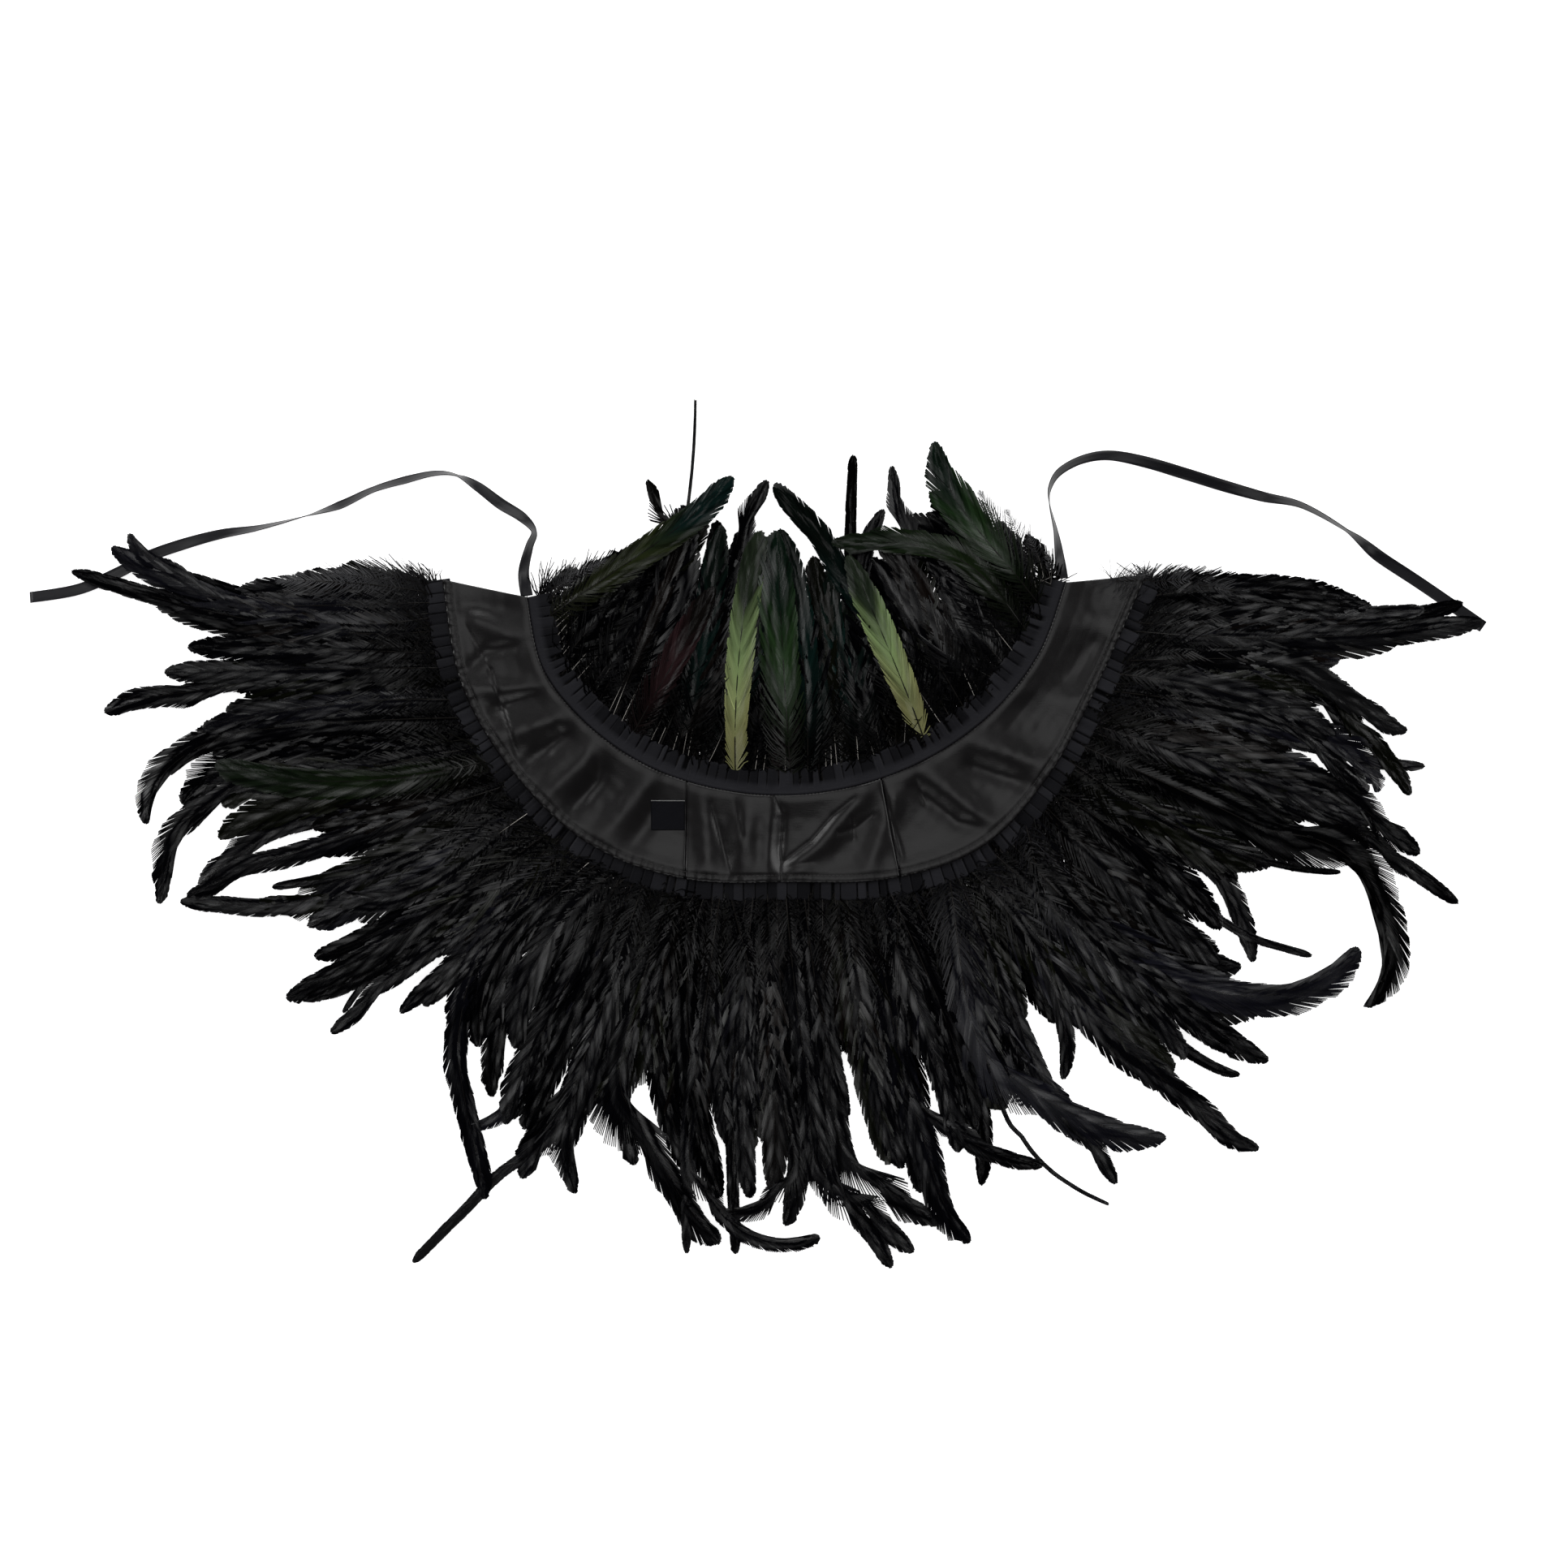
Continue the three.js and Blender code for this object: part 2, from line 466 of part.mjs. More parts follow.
// Between the main feathers lie shorter ones, each part of the way between its two neighbours' lines. Along each
// edge the feathers are spaced evenly and sewn to the two rows in turn.
function feathersOf(trim) {
  const main = trim.main.map((f) => {
    return { place: f.root, via: onPlan(f.viaX, f.viaY), tip: onPlan(f.tipX, f.tipY), wide: f.vane };
  });
  const between = [];
  for (let n = 0; n < trim.between; n += 1) {
    const place = (n + 0.5) / trim.between;
    const next = main.findIndex((f) => f.place > place);
    const after = next < 0 ? main.length - 1 : Math.max(next, 1);
    const [a, b] = [main[after - 1], main[after]];
    const share = clamp((place - a.place) / (b.place - a.place), 0, 1);
    const root = offEdge(trim, place, trim.shows);
    const line = bendThrough(root, a.via.clone().lerp(b.via, share), a.tip.clone().lerp(b.tip, share));
    const reach = lerp(filler.shortest, filler.longest, scatter(n + 1));
    const wide = lerp(filler.narrowest, filler.widest, scatter(n + filler.widthsFrom));
    between.push({ place, via: line.getPoint(viaAt * reach), tip: line.getPoint(reach), wide });
  }
  const all = [...main, ...between].sort((a, b) => a.place - b.place);
  return all.map((feather, n) => {
    const place = clearOfSeams(trim, (n + 0.5) / all.length);
    const line = bendThrough(offEdge(trim, place, trim.shows), feather.via, feather.tip);
    return { place, line, wide: feather.wide, row: n % 2, length: line.getLength() };
  });
}

// The vane's width as a share of its widest, from the end of the bare quill to near the tip.
const vaneShare = (along) => {
  const turn = vane.start + vane.span * along ** vane.lean;
  return Math.sin(Math.PI * turn) ** vane.fullness;
};

// Two feathers may share a ply only where they lie clear of each other on the plan.
function outlineOf(feather) {
  const bare = Math.min(quill.bare / feather.length, quill.mostBare);
  return feather.line.getSpacedPoints(lookedAt.feather).map((point, n) => {
    const along = n / lookedAt.feather;
    const share = along < bare ? vaneShare(0) : vaneShare((along - bare) / (1 - bare));
    return { point, radius: Math.max(quill.width, feather.wide * share) / 2 };
  });
}
function overlap(a, b) {
  const meets = (p, q) => p.point.distanceTo(q.point) < p.radius + q.radius + ply.apart;
  return a.outline.some((p) => b.outline.some((q) => meets(p, q)));
}
function stackInPlies(feathers) {
  const plies = [];
  for (const feather of feathers.toSorted((a, b) => a.length - b.length)) {
    feather.outline = outlineOf(feather);
    feather.ply = plies.findIndex((held) => !held.some((other) => overlap(feather, other)));
    if (feather.ply < 0) feather.ply = plies.push([]) - 1;
    plies[feather.ply].push(feather);
  }
  return plies.length;
}

// The ties' lines on the plan, and how far feathers are lifted where they pass over one.
const tieLines = Object.entries(tieRoutes).map(([name, route]) => {
  return { name, route, line: new THREE.SplineCurve(route.map((p) => onPlan(p.x, p.y))) };
});
const alongTies = tieLines.flatMap(({ line }) => line.getSpacedPoints(lookedAt.tie));
function liftOverTies(point) {
  const away = Math.min(...alongTies.map((place) => place.distanceTo(point)));
  return overTie.lift * clamp((overTie.none - away) / (overTie.none - overTie.full), 0, 1);
}

// Feathers rise from the tape to the height of their ply as they leave it, and sink a little further out.
function heightField(trim, row, firstPly) {
  const samples = Array.from({ length: lookedAt.edge + 1 }, (_, n) => offEdge(trim, n / lookedAt.edge, trim.shows));
  const rootHeight = row.bottom + tape.thickness / 2;
  return (point, feather) => {
    const away = Math.min(...samples.map((sample) => sample.distanceTo(point)));
    const risen = clamp(away / quill.bare, 0, 1);
    const sunk = ply.sinksBy * clamp((away - ply.sinksAfter) / ply.sinksOver, 0, 1);
    const level = ply.lowest + (firstPly + feather.ply) * ply.pitch * (1 - sunk) + liftOverTies(point);
    return lerp(rootHeight, level, risen);
  };
}

// A feather is a blade of four sides, with its shaft along the middle, and its quill runs into the tape.
function featherSolid(trim, row, feather, heightAt) {
  const ring = (point, tangent, width, thickness, height) => {
    const aside = new THREE.Vector2(-tangent.y, tangent.x).multiplyScalar(width / 2);
    const at = (p, rise) => new THREE.Vector3(p.x, p.y, height(p) + rise);
    return [
      at(point.clone().add(aside), 0),
      at(point, thickness / 2),
      at(point.clone().sub(aside), 0),
      at(point, -thickness / 2),
    ];
  };
  const { line, length, wide } = feather;
  const inside = offEdge(trim, feather.place, trim.shows - quill.sewnIn);
  const outwards = line.getPointAt(0).sub(inside).normalize();
  const rings = [ring(inside, outwards, quill.width, quill.thickness, () => row.bottom + tape.thickness / 2)];
  const bare = Math.min(quill.bare / length, quill.mostBare);
  const bend = line.getTangentAt(0).angleTo(line.getTangentAt(1));
  const wanted = Math.ceil(length / vane.lengthAStep + bend / vane.bendAStep);
  const steps = clamp(wanted, vane.fewestSteps, vane.mostSteps);
  const onField = (p) => heightAt(p, feather);
  for (let step = 0; step < steps; step += 1) {
    const along = (vane.lastRingAt * step) / (steps - 1);
    const at = lerp(bare, 1, along);
    const broad = Math.max(quill.width, wide * vaneShare(along));
    rings.push(ring(line.getPointAt(at), line.getTangentAt(at), broad, vane.thickness, onField));
  }
  const end = line.getPointAt(1);
  return solidOf(loft(rings, new THREE.Vector3(end.x, end.y, onField(end))));
}

for (const trim of trims) {
  const feathers = feathersOf(trim);
  let firstPly = 0;
  rows.forEach((row, n) => {
    const sewn = feathers.filter((feather) => feather.row === n);
    const plies = stackInPlies(sewn);
    const heightAt = heightField(trim, row, firstPly);
    firstPly += plies;
    for (const panel of panels) {
      const [from, to] = panel[trim.edge];
      const held = sewn.filter((feather) => feather.place >= from && feather.place < to);
      const solids = held.map((feather) => featherSolid(trim, row, feather, heightAt));
      const fused = wasm.Manifold.union([tapeSolid(trim, row, panel), ...solids]);
      const name = `${trim.name}_${row.name}_${panel.name}`;
      add(name, geometryOf(fused), { color: trim.color, roughness: 0.55 });
    }
  });
}

// A tie is a flat ribbon with rounded edges that turns about its length and just touches the surface it lies on.
// It leaves the yoke's neck corner at the height of the tapes, between the lining and the shell.
function tieGeometry(route, line) {
  const wide = tie.width / 2;
  const flat = wide - tie.rounded * tie.width;
  const thick = tie.thickness / 2;
  const upper = [[-wide, thick / 2], [-flat, thick], [flat, thick], [wide, thick / 2]];
  const section = [...upper, ...upper.toReversed().map(([across, up]) => [across, -up])];
  const rings = [];
  for (let step = 0; step <= tie.steps; step += 1) {
    const t = step / tie.steps;
    const at = t * (route.length - 1);
    const before = Math.min(Math.floor(at), route.length - 2);
    const angle = degToRad(lerp(route[before].turned, route[before + 1].turned, at - before));
    const point = line.getPoint(t);
    const tangent = line.getTangent(t);
    const lying = wide * Math.sin(angle) + thick * Math.cos(angle);
    const height = lying + Math.max(0, 1 - at) * tie.leavesAt;
    rings.push(section.map(([across, up]) => {
      const aside = across * Math.cos(angle) - up * Math.sin(angle);
      const raised = across * Math.sin(angle) + up * Math.cos(angle);
      return new THREE.Vector3(point.x - tangent.y * aside, point.y + tangent.x * aside, height + raised);
    }));
  }
  return loft(rings, null, true);
}
for (const { name, route, line } of tieLines) {
  add(name, tieGeometry(route, line), { color: 0x1c1b26, roughness: 0.4 });
}

// The origin is the middle of everything but the ties, on the surface that the cape lies on.
const extent = new THREE.Box3();
const ties = new Set(Object.keys(tieRoutes));
cape.children.filter((mesh) => !ties.has(mesh.name)).forEach((mesh) => extent.expandByObject(mesh));
const middle = extent.getCenter(new THREE.Vector3());
cape.children.forEach((mesh) => mesh.position.set(-middle.x, -middle.y, 0));

export default cape;
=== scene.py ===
# %% [markdown]
# # A feather cape, laid flat with its lining up
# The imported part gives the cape's solids: a crescent yoke, four rows of feather trim, two ribbon ties and a
# label. This lesson dresses each of them in what the real thing shows. The yoke is satin, the trims are
# gathered tape with quills sewn into it, and every feather is built barb by barb, because a feather's silky
# streaks, split edges and see-through down all come from its barbs.

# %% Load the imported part
import json
import math

import bmesh
import bpy
import numpy as np
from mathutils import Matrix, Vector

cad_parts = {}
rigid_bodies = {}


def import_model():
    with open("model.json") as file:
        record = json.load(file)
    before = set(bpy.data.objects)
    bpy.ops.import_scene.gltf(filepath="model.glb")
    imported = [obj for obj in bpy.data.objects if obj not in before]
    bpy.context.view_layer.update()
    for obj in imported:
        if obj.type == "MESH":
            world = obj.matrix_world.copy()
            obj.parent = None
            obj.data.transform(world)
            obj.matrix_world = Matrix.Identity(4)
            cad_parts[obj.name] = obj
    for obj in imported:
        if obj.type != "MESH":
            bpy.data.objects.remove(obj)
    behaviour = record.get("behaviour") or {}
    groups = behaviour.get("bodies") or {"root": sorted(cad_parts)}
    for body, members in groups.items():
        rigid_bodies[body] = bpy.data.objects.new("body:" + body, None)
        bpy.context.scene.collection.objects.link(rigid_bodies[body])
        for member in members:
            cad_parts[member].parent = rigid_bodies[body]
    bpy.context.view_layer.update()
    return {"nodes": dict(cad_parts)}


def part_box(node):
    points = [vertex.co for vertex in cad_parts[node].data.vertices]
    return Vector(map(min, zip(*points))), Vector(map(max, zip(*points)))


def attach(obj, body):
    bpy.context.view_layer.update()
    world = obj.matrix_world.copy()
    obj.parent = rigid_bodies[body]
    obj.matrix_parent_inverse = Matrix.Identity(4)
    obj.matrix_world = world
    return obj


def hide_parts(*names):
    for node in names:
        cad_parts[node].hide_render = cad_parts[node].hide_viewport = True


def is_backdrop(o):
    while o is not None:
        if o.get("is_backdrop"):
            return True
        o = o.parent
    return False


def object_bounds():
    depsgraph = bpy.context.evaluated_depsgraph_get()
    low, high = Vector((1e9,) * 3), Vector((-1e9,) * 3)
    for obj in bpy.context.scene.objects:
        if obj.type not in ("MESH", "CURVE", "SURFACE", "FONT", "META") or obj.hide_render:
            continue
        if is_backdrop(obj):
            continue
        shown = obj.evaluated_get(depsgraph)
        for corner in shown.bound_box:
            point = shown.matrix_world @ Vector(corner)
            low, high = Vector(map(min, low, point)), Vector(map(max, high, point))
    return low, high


for thing in list(bpy.data.objects):
    bpy.data.objects.remove(thing)
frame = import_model()

# %% [markdown]
# The cape was measured on a picture taken from straight above, where one pixel is 0.55 mm. Two feather
# tips, one at the far left and one at the top, have known places in that picture, so the boxes of their
# nodes tell where the picture lies in the part's own frame. After that, any point of the picture can be
# placed on the plan.

# %% Place the picture on the plan
MM = 0.001
PIXEL = 0.55 * MM
PICTURE = 1932
MIDDLE = PICTURE / 2
LEFT_TIP_X, TOP_TIP_Y = 90, 490

hem_nodes = [name for name in frame["nodes"] if name.startswith("hem_")]
collar_nodes = [name for name in frame["nodes"] if name.startswith("collar_")]
shift = np.array([
    min(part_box(name)[0].x for name in hem_nodes) - (LEFT_TIP_X - MIDDLE) * PIXEL,
    max(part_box(name)[1].y for name in collar_nodes) - (MIDDLE - TOP_TIP_Y) * PIXEL,
])


def on_plan(points):
    """Pixels of the picture as metres in the part's frame."""
    at = np.asarray(points, float)
    return np.stack([at[..., 0] - MIDDLE, MIDDLE - at[..., 1]], axis=-1) * PIXEL + shift


print("the picture's middle is at", shift.round(5))

# %% [markdown]
# A long lens held far above the floor shows the cape almost without perspective, as the picture does. The
# distance follows from the lens: the frame has to be as wide as the whole picture.

# %% Set up the camera
LENS, SENSOR = 70, 36
FOCUS_HEIGHT = 4 * MM

eye = bpy.data.objects.new("straight_above", bpy.data.cameras.new("straight_above"))
bpy.context.scene.collection.objects.link(eye)
eye.data.lens, eye.data.sensor_width = LENS, SENSOR
eye.location = (*shift, PICTURE * PIXEL * LENS / SENSOR + FOCUS_HEIGHT)
bpy.context.scene.camera = eye
bpy.context.scene.view_settings.view_transform = "Standard"
print("camera height", round(eye.location.z, 3), "m")

# %% [markdown]
# ## Sums on sockets
# A material or a Geometry Nodes tree is full of small sums. Written as Python expressions they stay
# readable, so one class wraps a node's output, and each operator adds the Math node that it stands for.
# Every other node comes from one method, which sets the node's settings first and then its sockets.


# %% Wrap a tree's sockets
class Wire:
    """A node's output that can be used in sums."""

    def __init__(self, board, socket):
        self.board, self.socket = board, socket

    def other(self, name):
        """Another output of the same node."""
        return Wire(self.board, Board.pick(self.socket.node.outputs, name))

    def __add__(self, other):
        return self.board.maths("ADD", self, other)

    def __sub__(self, other):
        return self.board.maths("SUBTRACT", self, other)

    def __rsub__(self, other):
        return self.board.maths("SUBTRACT", other, self)

    def __mul__(self, other):
        return self.board.maths("MULTIPLY", self, other)

    def __truediv__(self, other):
        return self.board.maths("DIVIDE", self, other)

    __radd__, __rmul__ = __add__, __mul__


class Board:
    """A node tree, and the ways to add nodes to it."""

    def __init__(self, tree):
        self.tree = tree

    @staticmethod
    def pick(sockets, key):
        shown = [socket for socket in sockets if socket.enabled]
        return shown[key] if isinstance(key, int) else next(s for s in shown if s.name == key)

    def node(self, kind, settings=None, sockets=None, out=0):
        made = self.tree.nodes.new(kind)
        for name, value in (settings or {}).items():
            setattr(made, name, value)
        for key, value in (sockets or {}).items():
            socket = self.pick(made.inputs, key)
            for one in value if isinstance(value, list) else [value]:
                if isinstance(one, Wire):
                    self.tree.links.new(one.socket, socket)
                else:
                    socket.default_value = one
        return Wire(self, self.pick(made.outputs, out)) if len(made.outputs) else None

    def maths(self, operation, *values, clamp=False):
        settings = {"operation": operation, "use_clamp": clamp}
        return self.node("ShaderNodeMath", settings, dict(enumerate(values)))

    def vector(self, operation, *values):
        return self.node("ShaderNodeVectorMath", {"operation": operation}, dict(enumerate(values)))

    def scaled(self, vector, factor):
        return self.node("ShaderNodeVectorMath", {"operation": "SCALE"}, {"Vector": vector, "Scale": factor})

    def total(self, first, *rest):
        for one in rest:
            first = self.vector("ADD", first, one)
        return first

    def between(self, share, low, high):
        """A number that goes from low to high as share goes from 0 to 1."""
        return low + share * (high - low)

    def colours(self, share, low, high):
        """A colour that goes from low to high as share goes from 0 to 1."""
        sockets = {"Factor": share, "A": low, "B": high}
        return self.node("ShaderNodeMix", {"data_type": "RGBA"}, sockets, "Result")


# %% [markdown]
# ## Cloth finishes
# A finish is one Principled shader, and a few short functions make the nodes that most finishes need. Some
# surfaces lose their gloss in places, such as cloth pulled into a seam or the loose parts of a feather.
# There a second shader without gloss is mixed in, because a share that changes over the surface can drive
# the mix. On cloth that second shader is near-black, so it also paints shade into the seams and grooves.


# %% Make what every finish needs
def finish(name):
    """An empty material with its board and its shader."""
    made = bpy.data.materials.new(name)
    made.use_nodes = True
    made.node_tree.nodes.clear()
    board = Board(made.node_tree)
    shader = board.node("ShaderNodeBsdfPrincipled")
    board.node("ShaderNodeOutputMaterial", None, {"Surface": shader})
    return made, board, shader.socket.node


def set_shader(board, shader, **sockets):
    """Sets or links the shader's sockets, named with underscores for spaces."""
    for name, value in sockets.items():
        socket = shader.inputs[name.replace("_", " ")]
        if isinstance(value, Wire):
            board.tree.links.new(value.socket, socket)
        else:
            socket.default_value = value


def place_on(board):
    """The piece's own Object coordinates."""
    return board.node("ShaderNodeTexCoord", None, None, "Object")


def noise(board, place, scale, detail=2.0):
    return board.node("ShaderNodeTexNoise", None, {"Vector": place, "Scale": scale, "Detail": detail})


def own(board, name, out="Fac"):
    """The piece's own attribute."""
    return board.node("ShaderNodeAttribute", {"attribute_name": name}, None, out)


def bump(board, height, distance):
    return board.node("ShaderNodeBump", None, {"Height": height, "Distance": distance, "Strength": 1.0})


# Unless a colour is given, the shader without gloss is near-black, so it paints shade where the share is high.
def matt(board, shader, share, colour=(0.001, 0.001, 0.0012, 1)):
    """Lets the shader give way to one without gloss, by a share that changes over the surface."""
    dead = board.node("ShaderNodeBsdfPrincipled")
    set_shader(board, dead.socket.node, Base_Color=colour, Roughness=1.0, Specular_IOR_Level=0.0)
    both = board.node("ShaderNodeMixShader", None, {0: share})
    board.tree.links.new(shader.outputs[0], both.socket.node.inputs[1])
    board.tree.links.new(dead.socket, both.socket.node.inputs[2])
    output = next(n for n in board.tree.nodes if n.bl_idname == "ShaderNodeOutputMaterial")
    board.tree.links.new(both.socket, output.inputs["Surface"])


# %% [markdown]
# Satin is smooth in one direction and has a fine twill in the other, so its light breaks up into soft pools
# with a faint grain. The colour is almost black. A slow noise varies the roughness, a stretched one gives
# slubs, and a fast one gives the weave. They read the piece's own Object coordinates, since every piece
# sits at the origin. Where the cloth dips into a seam or a pleat's groove, an attribute of the piece turns
# it matt and near-black there, which is painted shade.

# %% Make the satins
WEAVE = 0.00005


def satin(name, dark, light, rough, gloss=0.35):
    """Satin whose colour goes from dark to light with its noises, and which turns matt where it is worn."""
    made, board, shader = finish(name)
    place = place_on(board)
    slow = noise(board, place, 24, 3)
    grain = noise(board, place, 1400, 1)
    slub = noise(board, board.node("ShaderNodeMapping", None, {"Vector": place, "Scale": (1, 9, 1)}), 160, 3)
    shade = board.colours(slow * 0.6 + slub * 0.4, (*dark, 1), (*light, 1))
    relief = grain * 0.5 + slub * 0.8
    set_shader(
        board, shader,
        Base_Color=shade,
        Roughness=rough + (slow - 0.5) * 0.12,
        Specular_IOR_Level=gloss,
        Normal=bump(board, relief, WEAVE),
    )
    # Where the attribute is high, near-black without gloss is mixed in: painted shade in seams and grooves,
    # and on the tape some pleats dulled at random.
    matt(board, shader, own(board, "painted_shade_and_dull"))
    return made


lining_satin = satin("lining_satin", (0.0028, 0.0024, 0.0027), (0.0058, 0.0050, 0.0055), 0.3, 0.45)
shell_satin = satin("shell_satin", (0.005, 0.0045, 0.005), (0.009, 0.008, 0.009), 0.38)
tape_satin = satin("tape_satin", (0.0060, 0.0060, 0.0078), (0.0230, 0.0230, 0.0280), 0.5, 0.12)
ribbon_satin = satin("ribbon_satin", (0.0025, 0.0025, 0.0042), (0.0055, 0.0052, 0.0085), 0.36)
print("cloth finishes:", [m.name for m in bpy.data.materials])


# %% [markdown]
# ## Smooth lines
# Ribbons, edges and quills all follow lines that pass through a few noted places. The uniform spline used
# here is the one that the solids use, so what is drawn on it lies where the solids lie.


# %% Define smooth lines
def through(points, steps=1600):
    """A smooth line through points, the uniform spline that the solids use too."""
    p = np.asarray(points, float)
    at = np.linspace(0, len(p) - 1, steps)
    i = np.minimum(at.astype(int), len(p) - 2)
    t = (at - i)[:, None]
    before, start, end, after = p[np.maximum(i - 1, 0)], p[i], p[i + 1], p[np.minimum(i + 2, len(p) - 1)]
    leaving, coming = (end - before) / 2, (after - start) / 2
    cubic = 2 * start - 2 * end + leaving + coming
    square = -3 * start + 3 * end - 2 * leaving - coming
    return cubic * t**3 + square * t**2 + leaving * t + start


def unit(vectors):
    return vectors / np.maximum(np.linalg.norm(vectors, axis=-1, keepdims=True), 1e-12)


def runs(line):
    """The distance along a line at each of its points."""
    return np.concatenate([[0], np.cumsum(np.linalg.norm(np.diff(line, axis=0), axis=1))])


# %% [markdown]
# ## Grids made into pieces
# Cloth and ribbon are grids of points that numpy works out whole, because each point depends on its
# distance from an edge, a fold or a seam. These functions turn such a grid into a mesh at the origin that
# faces the right way.


# %% Turn arrays into pieces
def new_piece(name, points, faces, material, attributes=None):
    """A mesh object at the origin, with point attributes."""
    mesh = bpy.data.meshes.new(name)
    mesh.from_pydata(np.asarray(points, float).tolist(), [], [list(map(int, f)) for f in faces])
    for key, values in (attributes or {}).items():
        layer = mesh.attributes.new(key, "FLOAT", "POINT")
        layer.data.foreach_set("value", np.asarray(values, np.float32).ravel())
    mesh.materials.append(material)
    mesh.shade_smooth()
    mesh.update()
    made = bpy.data.objects.new(name, mesh)
    bpy.context.scene.collection.objects.link(made)
    return made


def grid_faces(columns, rows, closed=False):
    """Quads between a grid's points, column by column. A closed grid joins its last row to its first."""
    c, r = np.meshgrid(np.arange(columns - 1), np.arange(rows if closed else rows - 1), indexing="ij")
    a, b = c * rows + r, c * rows + (r + 1) % rows
    return np.stack([a, a + rows, b + rows, b], axis=-1).reshape(-1, 4)


def facing_up(points, faces):
    """The same faces, turned so that most of them face up."""
    a, b, c = (points[faces[:, k]] for k in range(3))
    return faces if np.cross(b - a, c - b)[:, 2].sum() > 0 else faces[:, ::-1]


def outwards(piece):
    """Merges doubled points and turns the faces of a closed piece outwards."""
    work = bmesh.new()
    work.from_mesh(piece.data)
    bmesh.ops.remove_doubles(work, verts=work.verts, dist=1e-6)
    bmesh.ops.recalc_face_normals(work, faces=work.faces)
    work.to_mesh(piece.data)
    work.free()


# %% [markdown]
# ## The ribbon ties
# Each tie is a limp satin ribbon 8 mm wide that leaves the yoke's neck corner, loops over the floor and
# ends in a plain cut. It was laid down loosely, so it turns about its own length: where it stands on edge
# it looks thin, and where it lies flat it shows its full width. The route repeats the solids' own: place,
# and how far it is turned, in degrees. A ribbon follows a path with a changing turn, so it is swept in
# code, ring by ring.

# %% Make the ties
TIE = {"width": 8.2 * MM, "solid": 1.0 * MM, "thick": 0.45 * MM, "leaves_at": 2.4 * MM, "rings": 170}
tie_routes = {
    "left": [
        (649, 734.3, 0), (645, 705, 30), (652, 674, 55), (658, 655, 70), (643, 637, 30), (616, 620, 15),
        (588, 599, 35), (564, 586, 80), (537, 583, 60), (500, 591, 45), (460, 603, 55), (419, 622, 40),
        (376, 636, 85), (320, 650, 60), (271, 658, 30), (222, 671, 12), (180, 686, 10), (145, 705, 12),
        (95, 726, 15), (36, 736, 20),
    ],
    "right": [
        (1309, 712.8, 0), (1306, 688, 30), (1301, 655, 65), (1293, 620, 85), (1294, 600, 70), (1306, 581, 55),
        (1334, 566, 50), (1368, 561, 40), (1412, 569, 25), (1460, 583, 15), (1508, 598, 20), (1557, 612, 40),
        (1605, 623, 70), (1660, 654, 88), (1700, 685, 15), (1755, 721, 0), (1829, 772, 0),
    ],
}


def tie_centre(route):
    """The ribbon's centreline and how far it is turned at each of its points, in radians."""
    stops = np.array(route, float)
    plan = through(on_plan(stops[:, :2]), TIE["rings"])
    at = np.linspace(0, len(stops) - 1, TIE["rings"])
    turned = np.radians(np.interp(at, np.arange(len(stops)), stops[:, 2]))
    lying = TIE["width"] / 2 * np.sin(turned) + TIE["solid"] / 2 * np.cos(turned)
    leaving = np.maximum(0, 1 - at) * TIE["leaves_at"]
    return np.column_stack([plan, lying + leaving]), turned


def ribbon(name, route):
    """A tie swept along its route, with its two ends closed."""
    centre, turned = tie_centre(route)
    forward = unit(np.gradient(centre[:, :2], axis=0))
    aside = np.column_stack([-forward[:, 1], forward[:, 0], np.zeros(len(forward))])
    wide, thin = TIE["width"] / 2, TIE["thick"] / 2
    half = [(0.4, 0.9), (0.86, 0.8), (0.94, 1.5), (1, 0)]
    top = [(-across, up) for across, up in reversed(half)] + [(0, 1)] + half
    section = top + [(across, -up) for across, up in reversed(top[1:-1])]
    rings = []
    for across, up in section:
        across, up = across * wide, up * thin
        sideways = across * np.cos(turned) - up * np.sin(turned)
        raised = across * np.sin(turned) + up * np.cos(turned)
        rings.append(centre + aside * sideways[:, None] + np.array([0, 0, 1]) * raised[:, None])
    points = np.stack(rings, axis=1).reshape(-1, 3)
    around = len(section)
    faces = grid_faces(len(centre), around, closed=True).tolist()
    for first in (0, len(points) - around):
        for k in range(around // 2):
            corners = dict.fromkeys([k, k + 1, around - k - 1, (around - k) % around])
            faces.append([first + corner for corner in corners])
    made = new_piece(name, points, faces, ribbon_satin, {"painted_shade_and_dull": np.zeros(len(points))})
    return made, centre


tie_centres = {}
for side, route in tie_routes.items():
    tie, centre = ribbon(f"ribbon_tie_{side}", route)
    outwards(tie)
    tie_centres[side] = centre
    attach(tie, "root")
    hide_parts(f"tie_{side}")
    length = float(runs(centre)[-1])
    print(tie.name, "is", round(length * 1000), "mm long")

# %% [markdown]
# ## The yoke's plan
# Everything else hangs on the yoke's two edges, its neck and its hem. Each is a smooth line through the
# same eleven stations as in the solids, and a place along an edge is a share of its length. The trims stand
# off an edge by a distance, away from the yoke.

# %% Draw the yoke's edges
neck_stations = [
    (650, 736), (669, 823), (725, 893), (800, 944), (887, 972), (977, 979),
    (1068, 964), (1152, 929), (1225, 875), (1281, 803), (1312, 718),
]
hem_stations = [
    (545, 714), (568, 842), (632, 952), (726, 1040), (844, 1083), (973, 1087), (1102, 1082), (1214, 1041),
    (1296, 950), (1358, 831), (1412, 708),
]


